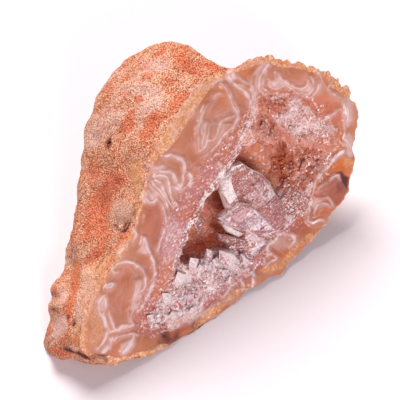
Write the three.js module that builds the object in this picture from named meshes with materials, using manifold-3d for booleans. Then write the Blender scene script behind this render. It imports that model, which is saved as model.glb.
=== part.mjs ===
// Agate geode, broken open: a lumpy rind with an agate wall round a crystal-lined hollow.
// Millimetres, +Z up.  The stone lies on a worn flat; +X is its long direction, and the
// broken face looks towards -Y and up.
import * as THREE from 'three';
import { mergeVertices } from 'three/addons/utils/BufferGeometryUtils.js';
import Module from 'manifold-3d';

const wasm = await Module();
wasm.setup();

// ---------------------------------------------------------------- driving dimensions
const FACE_TILT = 30; // degrees that the broken face leans back from the vertical
const LONG_AXIS_LEAN = 10; // degrees that the face's long axis climbs towards +X
const FACE_CENTRE = new THREE.Vector3(0.95, -7.9, 15.4); // middle of the broken face
const REAR_POLE = [-3.0, 2.0, -21.0]; // deepest point behind the face
const HOLLOW_AXIS = [1.0, -5.0]; // p, q that the hollow's walls run out from
const HOLLOW_FLOOR = [2.5, -4.4, -9.6]; // deepest point of the crystal-lined hollow
const CRUST_FLOOR = 2.0; // thickness of the crystal crust under that point
const CRUST_WALL = 1.5; // thickness of the crust where the hollow is widest
const SEAT_GAP = 0.32; // clearance between crust and stone
const SPOKE_COUNT = 72; // facets round the stone

// The broken face has a frame of its own: p runs along it, q across it and n straight out.
// Each row is one radial section: rim, back shoulder, inner edge of the agate (p, q, n),
// then mouth of the pocket, brink of the deep hollow, and its widest wall (p, q, n).
const SECTIONS = [
  [[13.9, 17.6, 0.0], [12.2, 20.2, -10.4], [12.4, 8.6, -0.5], [11.4, 7.0, -0.8], [10.4, 3.0, -1.7], [11.4, 3.4, -6.0]],
  [[17.9, 16.2, 0.3], [15.6, 14.3, -7.0], [16.2, 9.4, -0.5], [16.0, 8.8, -0.8], [12.6, 1.6, -2.2], [13.8, 1.8, -6.0]],
  [[22.8, 12.4, 0.4], [19.0, 9.5, -6.0], [19.8, 7.2, -0.5], [19.2, 6.8, -0.8], [15.4, -0.2, -2.4], [16.2, -0.6, -6.0]],
  [[27.8, 5.2, 0.2], [23.0, 2.8, -6.0], [23.6, 2.2, -0.5], [23.0, 2.0, -0.8], [17.0, -2.6, -2.8], [16.8, -3.0, -6.2]],
  [[30.2, -3.6, -0.4], [25.0, -4.0, -6.5], [24.6, -4.0, -0.6], [24.0, -4.0, -0.9], [17.0, -5.2, -3.0], [15.8, -5.0, -6.5]],
  [[27.5, -8.4, -0.5], [23.2, -7.0, -7.0], [24.0, -7.7, -0.6], [23.4, -7.5, -0.9], [16.2, -6.8, -3.0], [14.6, -6.4, -6.8]],
  [[24.6, -12.4, 0.0], [21.5, -10.0, -7.0], [21.0, -10.5, -0.5], [20.4, -10.1, -0.8], [14.8, -8.0, -3.0], [12.8, -7.4, -7.0]],
  [[20.1, -15.9, 0.3], [18.0, -13.0, -7.0], [16.8, -11.9, -0.5], [16.4, -11.5, -0.8], [12.4, -9.0, -2.8], [10.2, -8.2, -7.2]],
  [[13.2, -18.1, 0.2], [12.0, -15.4, -8.0], [12.0, -15.0, -0.5], [11.6, -13.9, -0.8], [8.4, -9.8, -2.6], [6.8, -8.8, -7.4]],
  [[5.5, -18.4, 0.0], [5.0, -15.2, -9.0], [5.0, -14.0, -0.5], [4.8, -13.4, -0.8], [4.2, -10.0, -2.4], [3.4, -9.0, -7.6]],
  [[-1.4, -17.1, 0.0], [-1.5, -14.4, -9.5], [-0.8, -15.2, -0.5], [-0.8, -13.9, -0.8], [0.2, -9.8, -2.2], [0.4, -9.0, -7.6]],
  [[-8.5, -16.8, 0.0], [-8.5, -13.6, -10.0], [-7.0, -14.0, -0.5], [-7.0, -13.3, -0.8], [-3.4, -9.2, -2.0], [-2.4, -8.6, -7.4]],
  [[-15.5, -15.2, 0.0], [-15.5, -12.6, -10.0], [-13.2, -13.7, -0.5], [-13.0, -12.6, -0.8], [-6.2, -8.2, -1.9], [-4.8, -7.8, -7.0]],
  [[-22.8, -12.7, 0.0], [-22.5, -11.0, -10.0], [-18.5, -12.0, -0.5], [-17.9, -11.4, -0.8], [-8.4, -7.2, -2.0], [-6.6, -6.8, -6.6]],
  [[-29.0, -9.2, -0.4], [-30.8, -9.4, -8.4], [-21.4, -8.6, -0.6], [-19.5, -10.2, -0.9], [-9.6, -6.2, -2.0], [-7.8, -5.6, -6.4]],
  [[-31.5, -4.2, -0.5], [-34.0, -5.4, -8.8], [-21.8, -6.2, -0.6], [-19.4, -8.3, -0.9], [-9.8, -5.2, -1.9], [-8.4, -4.2, -6.4]],
  [[-28.3, 1.1, -0.3], [-30.0, 0.9, -6.5], [-19.9, -4.6, -0.5], [-16.4, -6.7, -0.9], [-9.4, -4.4, -1.6], [-8.6, -2.8, -6.2]],
  [[-22.7, 4.2, 0.0], [-24.8, 3.0, -7.3], [-16.2, -3.2, -0.5], [-12.6, -4.8, -0.9], [-8.8, -3.6, -1.4], [-8.2, -1.4, -6.2]],
  [[-16.6, 5.9, 0.2], [-19.0, 5.8, -10.2], [-12.4, -0.4, -0.5], [-9.4, -2.2, -0.9], [-7.6, -2.6, -1.3], [-7.6, -0.4, -6.0]],
  [[-11.6, 9.0, 0.3], [-15.0, 8.6, -13.2], [-9.0, 3.0, -0.5], [-6.6, -0.1, -0.9], [-5.6, -1.1, -1.3], [-5.8, 0.8, -6.0]],
  [[-6.0, 13.8, 0.3], [-8.4, 14.8, -14.6], [-5.8, 5.4, -0.5], [-3.8, 1.3, -0.9], [-2.9, 0.1, -1.3], [-3.2, 1.9, -6.0]],
  [[-1.0, 16.7, 0.2], [-2.4, 19.8, -14.6], [-1.8, 6.5, -0.5], [-0.9, 2.7, -0.9], [-0.6, 1.3, -1.3], [-0.2, 2.8, -6.0]],
  [[4.3, 18.3, 0.0], [3.2, 22.2, -14.2], [3.6, 7.1, -0.5], [2.9, 3.1, -0.9], [2.8, 1.7, -1.4], [3.4, 3.2, -6.0]],
  [[9.5, 19.0, 0.0], [8.8, 22.8, -12.8], [8.0, 7.4, -0.5], [7.4, 4.8, -0.9], [6.6, 2.9, -1.5], [7.6, 3.4, -6.0]],
];
const [RIM, SHOULDER, AGATE_EDGE, MOUTH, BRINK, WELL] = [0, 1, 2, 3, 4, 5];

// ---------------------------------------------------------------- frame of the broken face
const faceTurn = new THREE.Matrix4()
  .makeRotationY(THREE.MathUtils.degToRad(-LONG_AXIS_LEAN))
  .multiply(new THREE.Matrix4().makeRotationX(THREE.MathUtils.degToRad(90 - FACE_TILT)));
const faceToPart = new THREE.Matrix4().makeTranslation(FACE_CENTRE).multiply(faceTurn);

// ---------------------------------------------------------------- sections round the stone
function catmullRom(a, b, c, d, t) {
  const cubic = -a + 3 * b - 3 * c + d;
  const square = 2 * a - 5 * b + 4 * c - d;
  return 0.5 * (2 * b + (c - a) * t + square * t * t + cubic * t * t * t);
}

// The section at a turn u of 0 to SECTIONS.length, as six points.
function sectionAt(u) {
  const count = SECTIONS.length;
  const first = Math.floor(u);
  const rows = [-1, 0, 1, 2].map((k) => SECTIONS[(first + k + count) % count]);
  return rows[0].map((_, point) => [0, 1, 2].map((axis) =>
    catmullRom(...rows.map((row) => row[point][axis]), u - first)));
}

// Turns that cut the rim into equal lengths.
function evenTurns(count) {
  const steps = 960;
  const turns = [];
  const lengths = [0];
  let last = sectionAt(0)[RIM];
  for (let i = 1; i <= steps; i++) {
    const rim = sectionAt((i / steps) * SECTIONS.length % SECTIONS.length)[RIM];
    lengths.push(lengths[i - 1] + Math.hypot(rim[0] - last[0], rim[1] - last[1]));
    last = rim;
  }
  for (let i = 0, step = 0; i < count; i++) {
    const want = (lengths[steps] * i) / count;
    while (lengths[step + 1] < want) step += 1;
    const part = (want - lengths[step]) / (lengths[step + 1] - lengths[step]);
    turns.push(((step + part) / steps) * SECTIONS.length);
  }
  return turns;
}

const TURNS = evenTurns(SPOKE_COUNT);
const SPOKES = TURNS.map(sectionAt);
const mix = (a, b, t) => a.map((value, i) => value + (b[i] - value) * t);

// ---------------------------------------------------------------- lumps, pits and folds
// Each mark sits at a turn u and a depth s (0 at the rim, 1 at the shoulder).  It reaches
// so far along the rim and so far down the side (mm), and stands out by its height.
const MARKS = [
  { u: 19.7, s: 0.34, along: 2.6, down: 2.4, height: -0.9 }, // deep dark hollow
  { u: 19.15, s: 0.58, along: 3.2, down: 3.6, height: -0.6 },
  { u: 17.6, s: 0.42, along: 2.6, down: 1.3, height: -0.7 }, // pointed notch
  { u: 21.0, s: 0.38, along: 1.7, down: 2.2, height: -0.5 },
  { u: 21.2, s: 0.2, along: 2.0, down: 1.8, height: -0.4 },
  { u: 22.35, s: 0.24, along: 1.6, down: 1.8, height: -0.5 },
  { u: 22.95, s: 0.62, along: 3.2, down: 1.6, height: -0.45 },
  { u: 23.2, s: 0.24, along: 3.2, down: 1.2, height: -0.7 }, // fold beside the notch
  { u: 16.3, s: 0.4, along: 2.2, down: 0.9, height: -0.6 }, // slit
  { u: 18.4, s: 1.05, along: 4.0, down: 4.0, height: 0.6 },
  { u: 16.2, s: 1.0, along: 2.4, down: 1.6, height: 0.8 }, // knob at the narrow end
  { u: 15.4, s: 0.2, along: 2.0, down: 1.0, height: 0.5 },
  { u: 3.3, s: 0.25, along: 1.4, down: 1.2, height: 0.5 },
  { u: 4.1, s: 0.2, along: 1.2, down: 1.2, height: 0.6 },
  { u: 4.8, s: 0.25, along: 1.2, down: 1.2, height: 0.5 },
  { u: 9.6, s: 1.5, along: 4.0, down: 4.0, height: -0.6 },
];
const LUMP_HEIGHT = 0.3;

// Rind points: s runs from the rim (0) over the shoulder (1) to the rear pole (2).
function rindPoint(section, s) {
  const rim = section[RIM];
  const shoulder = section[SHOULDER];
  if (s <= 1) {
    const ease = s * (2 - s);
    return [0, 1].map((i) => rim[i] + (shoulder[i] - rim[i]) * ease)
      .concat(rim[2] + (shoulder[2] - rim[2]) * s);
  }
  const angle = (s - 1) * Math.PI / 2;
  return [0, 1].map((i) => REAR_POLE[i] + (shoulder[i] - REAR_POLE[i]) * Math.cos(angle))
    .concat(shoulder[2] + (REAR_POLE[2] - shoulder[2]) * Math.sin(angle));
}

const distance = (a, b) => Math.hypot(a[0] - b[0], a[1] - b[1], a[2] - b[2]);

// Scales of u and s in mm, where each mark sits.
for (const mark of MARKS) {
  const here = rindPoint(sectionAt(mark.u), mark.s);
  mark.perTurn = distance(here, rindPoint(sectionAt(mark.u + 0.1), mark.s)) / 0.1;
  mark.perStep = distance(here, rindPoint(sectionAt(mark.u), mark.s + 0.05)) / 0.05;
}

function markHeight(u, s) {
  let height = 0;
  for (const mark of MARKS) {
    const along = (u - mark.u) * mark.perTurn / mark.along;
    const down = (s - mark.s) * mark.perStep / mark.down;
    height += mark.height * Math.exp(-along * along - down * down);
  }
  return height;
}

// Low rounded lumps from three crossed waves (wave lengths of about 6 to 10 mm).
function lumps([p, q, n]) {
  const first = Math.sin(0.74 * p + 0.38 * q + 0.9) * Math.sin(0.62 * q - 0.55 * n);
  const second = Math.sin(0.95 * n + 0.41 * p + 2.1) * Math.sin(0.88 * q + 0.2 * p);
  return LUMP_HEIGHT * (first + 0.7 * second);
}

// ---------------------------------------------------------------- closed solids from rings
// Rings of points [p, q, n] run from one pole to the other; the result faces outwards.
// With no poles it stays an open sheet.  Rings listed the other way round are crossed, so
// that their facets still run parallel to those of the sheet they were taken from.
function ringGeometry(rings, firstPole, lastPole, crossed = false) {
  const around = rings[0].length;
  const points = rings.flat();
  const faces = [];
  const at = (ring, spoke) => ring * around + (spoke % around);
  for (let ring = 0; ring < rings.length - 1; ring++) {
    for (let spoke = 0; spoke < around; spoke++) {
      const [near, nearNext] = [at(ring, spoke), at(ring, spoke + 1)];
      const [far, farNext] = [at(ring + 1, spoke), at(ring + 1, spoke + 1)];
      faces.push(near, far, crossed ? nearNext : farNext);
      faces.push(crossed ? far : near, farNext, nearNext);
    }
  }
  if (firstPole && lastPole) {
    const end = rings.length - 1;
    const [first, last] = [points.push(firstPole) - 1, points.push(lastPole) - 1];
    for (let spoke = 0; spoke < around; spoke++) {
      faces.push(first, at(0, spoke), at(0, spoke + 1));
      faces.push(at(end, spoke), last, at(end, spoke + 1));
    }
  }
  const geometry = new THREE.BufferGeometry();
  geometry.setAttribute('position', new THREE.Float32BufferAttribute(points.flat(), 3));
  geometry.setIndex(faces);
  return geometry;
}

// The outward normal at each point of an open sheet of rings.
function ringNormals(rings) {
  const geometry = ringGeometry(rings);
  geometry.computeVertexNormals();
  const normals = geometry.getAttribute('normal');
  const around = rings[0].length;
  return rings.map((ring, r) => ring.map((_, spoke) =>
    new THREE.Vector3().fromBufferAttribute(normals, r * around + spoke).toArray()));
}

// Moves each point along its normal by the height that lift(point, ring, spoke) gives.
function lifted(rings, lift) {
  const normals = ringNormals(rings);
  return rings.map((ring, r) => ring.map((point, spoke) => {
    const height = lift(point, r, spoke);
    return point.map((value, i) => value + normals[r][spoke][i] * height);
  }));
}

function solidFrom(geometry) {
  const bare = geometry.clone();
  bare.deleteAttribute('normal');
  bare.deleteAttribute('uv');
  const merged = mergeVertices(bare, 1e-5);
  return new wasm.Manifold(new wasm.Mesh({
    numProp: 3,
    vertProperties: new Float32Array(merged.getAttribute('position').array),
    triVerts: new Uint32Array(merged.index.array),
  }));
}

function geometryFrom(solid) {
  const mesh = solid.getMesh();
  const geometry = new THREE.BufferGeometry();
  geometry.setAttribute('position', new THREE.BufferAttribute(mesh.vertProperties, 3));
  geometry.setIndex(new THREE.BufferAttribute(mesh.triVerts, 1));
  geometry.computeVertexNormals();
  return geometry;
}

// A solid placed in the part's frame, from geometry in the frame of the broken face.
const inPart = (geometry) => solidFrom(geometry.clone().applyMatrix4(faceToPart));

// ---------------------------------------------------------------- surfaces of the stone
const RIND_STEPS = [1.84, 1.68, 1.53, 1.38, 1.25, 1.12, 1.0, 0.88, 0.77, 0.66, 0.56, 0.46,
  0.37, 0.28, 0.2, 0.12, 0.05];
const FACE_STEPS = [0.1, 0.35, 0.65, 0.9];

function rindRings() {
  const rings = RIND_STEPS.map((s) => SPOKES.map((section) => rindPoint(section, s)));
  const rims = SPOKES.map((section) => section[RIM]);
  return lifted([...rings, rims], (point, ring, spoke) => {
    if (ring === rings.length) return 0;
    const s = RIND_STEPS[ring];
    return lumps(point) * Math.min(1, 3 * s) + markHeight(TURNS[spoke], s);
  });
}

// The broken agate is gently rippled: low lobes between the rim and its inner edge.
function faceRings() {
  const ripple = ([p, q]) => 0.22 * Math.sin(0.9 * p + 0.3 * q) * Math.sin(0.8 * q - 0.4 * p + 1);
  const rings = FACE_STEPS.map((t) => SPOKES.map((section) => {
    const point = mix(section[RIM], section[AGATE_EDGE], t);
    const crown = 0.5 * Math.sin(Math.PI * t);
    return [point[0], point[1], point[2] + ripple(point) + crown];
  }));
  return [...rings, SPOKES.map((section) => section[AGATE_EDGE]),
    SPOKES.map((section) => section[MOUTH])];
}

// ---------------------------------------------------------------- pocket and hollow
function outwards([p, q]) {
  const away = [p - HOLLOW_AXIS[0], q - HOLLOW_AXIS[1]];
  const length = Math.hypot(...away);
  return away.map((value) => value / length);
}

function pushed(point, out, down) {
  const way = outwards(point);
  return [point[0] + way[0] * out, point[1] + way[1] * out, point[2] - down];
}

const POCKET_FLOOR = [HOLLOW_FLOOR[0], HOLLOW_FLOOR[1], HOLLOW_FLOOR[2] - CRUST_FLOOR];
const CRUST_BACK_FLOOR = [POCKET_FLOOR[0], POCKET_FLOOR[1], POCKET_FLOOR[2] + SEAT_GAP];

// The wall of the stone behind the crust: from the mouth down to its widest, then the floor.
const POCKET_STEPS = [0, 0.25, 0.6, 1];
const FLOOR_STEPS = [[0.35, 0.9], [0.7, 0.7]]; // way to the floor's middle, and its sag

function pocketRings() {
  const sections = SPOKES.map((section) => {
    const widest = pushed(section[WELL], CRUST_WALL, 0.5);
    const wall = POCKET_STEPS.map((t) => mix(section[MOUTH], widest, t));
    const floor = FLOOR_STEPS.map(([t, sag]) => pushed(mix(widest, POCKET_FLOOR, t), 0, sag));
    return [...wall, ...floor];
  });
  return sections[0].map((_, ring) => sections.map((section) => section[ring]));
}

// The shift that draws a corner of a clockwise outline in by one unit from both its sides.
function cornerShift(before, corner, after) {
  const normals = [[before, corner], [corner, after]].map(([from, to]) => {
    const length = Math.hypot(to[0] - from[0], to[1] - from[1]);
    return [(to[1] - from[1]) / length, (from[0] - to[0]) / length];
  });
  const spread = 1 + normals[0][0] * normals[1][0] + normals[0][1] * normals[1][1];
  return [0, 1].map((axis) => (normals[0][axis] + normals[1][axis]) / spread);
}

// The same wall less the clearance: each ring drawn in square to its outline and raised.
const BACK_RAISE = [0.2, 0.6, 0.6, 1, 1, 1]; // parts of the clearance, ring by ring

function crustBackRings() {
  return pocketRings().map((ring, r) => ring.map((point, spoke) => {
    const before = ring[(spoke + SPOKE_COUNT - 1) % SPOKE_COUNT];
    const after = ring[(spoke + 1) % SPOKE_COUNT];
    const shift = [...cornerShift(before, point, after), BACK_RAISE[r]];
    return point.map((value, axis) => value + SEAT_GAP * shift[axis]);
  }));
}

// The free surface of the crystal crust, from its outer edge down to the floor.
const CRUST_STEPS = [0.33, 0.7];

function crustFrontRings(edge) {
  const sections = SPOKES.map((section, spoke) => {
    const brink = section[BRINK];
    const well = section[WELL];
    const slope = CRUST_STEPS.map((t) => mix(edge[spoke], brink, t));
    const floor = FLOOR_STEPS.map(([t, sag]) => pushed(mix(well, HOLLOW_FLOOR, t), 0, 0.7 * sag));
    return [...slope, brink, mix(brink, well, 0.5), well, ...floor];
  });
  return sections[0].map((_, ring) => sections.map((section) => section[ring]));
}

// ---------------------------------------------------------------- crystals
// A six-sided crystal with a pointed end, from its foot towards its tip (in p, q, n).
function crystal({ foot, tip, radius, flat = 1, roll = 0 }) {
  const from = new THREE.Vector3(...foot);
  const axis = new THREE.Vector3(...tip).sub(from);
  const length = axis.length();
  const profile = [[0, 0], [radius * 0.85, 0], [radius, length - radius * 1.1], [0, length]]
    .map(([x, y]) => new THREE.Vector2(x, y));
  const geometry = new THREE.LatheGeometry(profile, 6);
  geometry.rotateY(THREE.MathUtils.degToRad(roll));
  geometry.scale(1, 1, flat);
  const turn = new THREE.Quaternion()
    .setFromUnitVectors(new THREE.Vector3(0, 1, 0), axis.normalize());
  geometry.applyQuaternion(turn);
  geometry.translate(from.x, from.y, from.z);
  return geometry;
}

// A tabular crystal: an outline (p, q, n) with bevelled edges and a thickness.
function plate({ outline, thick, bevel }) {
  const middle = outline[0].map((_, i) =>
    outline.reduce((sum, point) => sum + point[i], 0) / outline.length);
  const inner = (drop) => outline.map((point) => {
    const moved = mix(point, middle, bevel);
    moved[2] -= drop;
    return moved;
  });
  const side = outline.map(([p, q, n]) => [p, q, n - thick / 2]);
  const top = [middle[0], middle[1], middle[2] + 0.1];
  const bottom = [middle[0], middle[1], middle[2] - thick - 0.1];
  return ringGeometry([inner(thick), side, inner(0)], bottom, top);
}

const PLATES = [
  { // the great tabular crystal across the hollow
    outline: [[7.9, 2.1, -1.4], [10.3, -2.5, -1.6], [10.5, -7.1, -1.7], [9.6, -12.4, -1.6],
      [5.2, -12.8, -1.9], [2.6, -7.1, -2.4], [3.4, 0.5, -1.9]],
    thick: 2.0,
    bevel: 0.2,
  },
  { // the bright rhomb in front of it
    outline: [[2.0, -3.7, -1.0], [3.6, -3.6, -0.9], [5.9, -5.2, -1.0], [6.0, -7.9, -1.0],
      [6.3, -11.3, -1.1], [5.0, -12.2, -1.3], [2.0, -9.0, -1.4], [0.7, -6.2, -1.3], [0.5, -4.1, -1.2]],
    thick: 1.2,
    bevel: 0.18,
  },
  { // thin shard under the left lip
    outline: [[-2.8, 1.0, -1.4], [-2.3, -0.3, -1.5], [-2.1, -2.2, -1.6], [-3.7, -2.9, -1.6],
      [-4.5, -1.6, -1.5], [-4.4, 0.4, -1.4]],
    thick: 0.8,
    bevel: 0.25,
  },
];

// Larger single crystals, by the middle of the foot, the tip and the radius.
const CRYSTALS = [
  { foot: [-7.8, -10.0, -4.2], tip: [-8.1, -4.9, -1.1], radius: 1.2 },
  { foot: [-5.5, -11.6, -4.4], tip: [-5.2, -8.6, -1.6], radius: 1.0 },
  { foot: [-2.9, -12.6, -4.2], tip: [-2.8, -10.3, -0.5], radius: 1.8, roll: 20 },
  { foot: [-10.2, -9.6, -3.4], tip: [-10.8, -6.6, -0.6], radius: 1.6, roll: 12 },
  { foot: [-13.2, -10.6, -3.0], tip: [-13.8, -9.2, -0.3], radius: 1.3, roll: 40 },
  { foot: [-8.6, -12.0, -3.2], tip: [-8.6, -11.0, -0.3], radius: 1.4, roll: 33 },
  { foot: [0.2, -12.2, -4.0], tip: [0.6, -10.2, -1.2], radius: 1.6, roll: 14 },
  { foot: [14.4, 1.4, -3.6], tip: [15.1, 4.8, -0.5], radius: 1.3, roll: 8 },
  { foot: [18.6, 1.0, -3.2], tip: [19.8, 3.0, 0.3], radius: 1.6, roll: 25 },
  { foot: [20.2, -1.2, -2.8], tip: [21.4, -0.4, 0.0], radius: 1.4, roll: 5 },
  { foot: [17.4, -5.0, -4.2], tip: [18.8, -3.6, -1.0], radius: 1.3, roll: 17 },
];

// Even scatter without chance: a whole number gives a fraction of 0 to 1.
function fraction(seed) {
  const wave = Math.sin(seed * 12.9898 + 4.1) * 43758.5453;
  return wave - Math.floor(wave);
}

// Small points standing on the free surface, a ring of them between each pair of rings.
const POINTS_PER_RING = [17, 12, 8, 4];
const POINT_RADIUS = 0.85;

function scatteredPoints(rings) {
  const normals = ringNormals(rings);
  const points = [];
  POINTS_PER_RING.forEach((count, ring) => {
    for (let i = 0; i < count; i++) {
      const seed = ring * 97 + i;
      const spoke = Math.floor(((i + 0.7 * fraction(seed)) / count) * SPOKE_COUNT) % SPOKE_COUNT;
      const foot = rings[ring][spoke];
      const lean = [0, 1, 2].map((axis) => 0.9 * (fraction(seed * 3 + axis + 11) - 0.5));
      const way = normals[ring][spoke].map((value, axis) => value + lean[axis]);
      const size = 0.75 + 0.7 * fraction(seed + 400);
      points.push({
        foot: foot.map((value, axis) => value - way[axis] * 0.6 * size),
        tip: foot.map((value, axis) => value + way[axis] * 1.15 * size),
        radius: POINT_RADIUS * size,
        roll: 60 * fraction(seed + 700),
      });
    }
  });
  return points;
}

// ---------------------------------------------------------------- the two pieces
const HEADROOM = 5; // mm above the face where crystals may stand
const BLISTER = { u: 19.1, s: 0.2, radii: [2.2, 1.8, 1.5] };
const PITS = [
  { u: 20.35, s: 0.56, radius: 0.75 },
  { u: 18.7, s: 0.16, radius: 0.7 },
  { u: 15.85, s: 0.34, radius: 0.65 },
];
const LEDGES = [
  { u: 16.4, s: 0.95, radii: [2.2, 1.2, 1.6] },
  { u: 15.3, s: 0.75, radii: [1.6, 1.8, 1.5] },
  { u: 3.6, s: 0.2, radii: [1.2, 1.6, 1.4] },
  { u: 4.4, s: 0.18, radii: [1.0, 1.5, 1.3] },
];
const LEDGE_SINK = 0.6; // part of a ledge's height that lies inside the stone

function blob(centre, radii, detail = 1) {
  const geometry = new THREE.IcosahedronGeometry(1, detail);
  geometry.scale(...radii);
  geometry.translate(...centre);
  return inPart(geometry);
}

function baseCutter() {
  const depth = 20;
  const box = new THREE.BoxGeometry(120, 120, depth);
  box.translate(0, 0, -depth / 2);
  return solidFrom(box);
}

function geodeShell() {
  const rings = [...rindRings(), ...faceRings(), ...pocketRings().slice(1)];
  let solid = inPart(ringGeometry(rings, REAR_POLE, POCKET_FLOOR));
  const blister = rindPoint(sectionAt(BLISTER.u), BLISTER.s);
  solid = solid.add(blob(blister, BLISTER.radii, 2));
  for (const { u, s, radii } of LEDGES) {
    const centre = pushed(rindPoint(sectionAt(u), s), -LEDGE_SINK * radii[1], 0);
    solid = solid.add(blob(centre, radii));
  }
  for (const { u, s, radius } of PITS) {
    solid = solid.subtract(blob(rindPoint(sectionAt(u), s), [radius, radius, radius]));
  }
  return solid.subtract(baseCutter());
}

// The room that the crust may fill: the pocket less its clearance, open above the mouth.
function crustRoom(back) {
  const top = back[0].map(([p, q, n]) => [p, q, n + HEADROOM]);
  const rings = [...back.slice().reverse(), top];
  const ceiling = [...HOLLOW_AXIS, HEADROOM];
  return inPart(ringGeometry(rings, CRUST_BACK_FLOOR, ceiling, true));
}

function crystalCrust() {
  const back = crustBackRings();
  const front = crustFrontRings(back[0]);
  const rings = [...back.slice().reverse(), ...front];
  let solid = inPart(ringGeometry(rings, CRUST_BACK_FLOOR, HOLLOW_FLOOR, true));
  for (const shape of PLATES) {
    solid = solid.add(inPart(plate(shape)));
  }
  for (const shape of [...CRYSTALS, ...scatteredPoints(front)]) {
    solid = solid.add(inPart(crystal(shape)));
  }
  return solid.intersect(crustRoom(back));
}

// ---------------------------------------------------------------- scene graph
function piece(name, solid, color, roughness) {
  const material = new THREE.MeshStandardMaterial({ color, roughness, metalness: 0 });
  const mesh = new THREE.Mesh(geometryFrom(solid), material);
  mesh.name = name;
  return mesh;
}

const geode = new THREE.Group();
geode.add(piece('geode_shell', geodeShell(), '#d08a6a', 0.75));
geode.add(piece('crystal_crust', crystalCrust(), '#c99a98', 0.25));

export default geode;
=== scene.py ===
import itertools
import math
import bpy
import numpy as np
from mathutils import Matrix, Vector


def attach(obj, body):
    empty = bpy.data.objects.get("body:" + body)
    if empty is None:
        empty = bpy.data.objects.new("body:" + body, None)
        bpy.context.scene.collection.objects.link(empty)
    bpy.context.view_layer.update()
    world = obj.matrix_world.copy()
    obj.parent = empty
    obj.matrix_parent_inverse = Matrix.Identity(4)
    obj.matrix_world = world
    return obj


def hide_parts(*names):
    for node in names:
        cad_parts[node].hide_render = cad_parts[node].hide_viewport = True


# Agate geode, broken open.  Shapes are worked out in millimetres in the frame of the
# broken face (p along it, q across it, n straight out of it) and then placed in the
# part's frame, in metres.
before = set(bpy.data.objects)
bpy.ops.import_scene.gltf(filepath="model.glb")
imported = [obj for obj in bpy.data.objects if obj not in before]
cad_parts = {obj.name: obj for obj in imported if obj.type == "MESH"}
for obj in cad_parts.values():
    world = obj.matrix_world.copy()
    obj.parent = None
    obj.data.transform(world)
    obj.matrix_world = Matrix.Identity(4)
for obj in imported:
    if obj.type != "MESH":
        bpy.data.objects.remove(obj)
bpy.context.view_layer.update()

# ---------------------------------------------------------------- frame of the broken face
MM = 0.001
FACE_CENTRE = np.array([0.95, -7.9, 15.4])
FACE_TILT = math.radians(30)
LONG_AXIS_LEAN = math.radians(10)


def turn_about_x(angle):
    c, s = math.cos(angle), math.sin(angle)
    return np.array([[1, 0, 0], [0, c, -s], [0, s, c]])


def turn_about_y(angle):
    c, s = math.cos(angle), math.sin(angle)
    return np.array([[c, 0, s], [0, 1, 0], [-s, 0, c]])


FACE_TURN = turn_about_y(-LONG_AXIS_LEAN) @ turn_about_x(math.pi / 2 - FACE_TILT)


def in_part(points):
    """Points of the face frame (mm) in the part's frame, still in mm."""
    return np.asarray(points) @ FACE_TURN.T + FACE_CENTRE


# ---------------------------------------------------------------- camera and lights
CAMERA_AZIMUTH = math.radians(-43.8)
CAMERA_HEIGHT = math.radians(55)
CAMERA_DISTANCE = 450
FIELD = 64
AIM_RIGHT, AIM_UP = -2.4, 0.8  # of the middle of the face, mm

to_camera = np.array([
    math.sin(CAMERA_AZIMUTH) * math.cos(CAMERA_HEIGHT),
    -math.cos(CAMERA_AZIMUTH) * math.cos(CAMERA_HEIGHT),
    math.sin(CAMERA_HEIGHT),
])
to_right = np.array([math.cos(CAMERA_AZIMUTH), math.sin(CAMERA_AZIMUTH), 0])
to_top = np.cross(to_camera, to_right)
aim = FACE_CENTRE + AIM_RIGHT * to_right + AIM_UP * to_top
CAMERA_PLACE = aim + CAMERA_DISTANCE * to_camera


def look(thing, place, target):
    thing.location = Vector(place) * MM
    way = Vector(target) - Vector(place)
    thing.rotation_euler = way.to_track_quat("-Z", "Y").to_euler()
    bpy.context.scene.collection.objects.link(thing)


def softbox(name, way, distance, size, watts, colour):
    light = bpy.data.lights.new(name, "AREA")
    light.shape = "DISK"
    light.size = size * MM
    light.energy = watts
    light.color = colour
    place = FACE_CENTRE + distance * np.asarray(way) / np.linalg.norm(way)
    look(bpy.data.objects.new(name, light), place, FACE_CENTRE)


lens = bpy.data.cameras.new("camera")
lens.lens = lens.sensor_width * CAMERA_DISTANCE / FIELD
lens.clip_start = 10 * MM
camera = bpy.data.objects.new("camera", lens)
look(camera, CAMERA_PLACE, aim)
bpy.context.scene.camera = camera
bpy.context.scene.view_settings.view_transform = "Standard"

across_floor = np.cross([0, 0, 1], to_right)
softbox("key_light", [0, 0, 0.78] + 0.58 * across_floor - 0.22 * to_right,
        distance=600, size=310, watts=5.15, colour=(1, 0.99, 0.97))
softbox("front_light", [-0.4, -0.75, 0.5],
        distance=700, size=260, watts=3.2, colour=(1, 0.95, 0.965))

world = bpy.data.worlds.new("room")
world.use_nodes = True
bpy.context.scene.world = world
sky = world.node_tree.nodes["Background"].inputs
sky["Color"].default_value = (1, 0.79, 0.87, 1)
sky["Strength"].default_value = 0.26

# ---------------------------------------------------------------- sections round the stone
# Closed lines round the stone (p, q, n in mm).  The points at one place of each make one
# radial section, from the rim over the back, and from the rim into the hollow.
RIM_LINE = [
    (13.9, 17.6, 0), (17.9, 16.2, 0.3), (22.8, 12.4, 0.4), (27.8, 5.2, 0.2), (30.2, -3.6, -0.4),
    (27.5, -8.4, -0.5), (24.6, -12.4, 0), (20.1, -15.9, 0.3), (13.2, -18.1, 0.2), (5.5, -18.4, 0),
    (-1.4, -17.1, 0), (-8.5, -16.8, 0), (-15.5, -15.2, 0), (-22.8, -12.7, 0), (-29, -9.2, -0.4),
    (-31.5, -4.2, -0.5), (-28.3, 1.1, -0.3), (-22.7, 4.2, 0), (-16.6, 5.9, 0.2), (-11.6, 9, 0.3),
    (-6, 13.8, 0.3), (-1, 16.7, 0.2), (4.3, 18.3, 0), (9.5, 19, 0),
]
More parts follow.
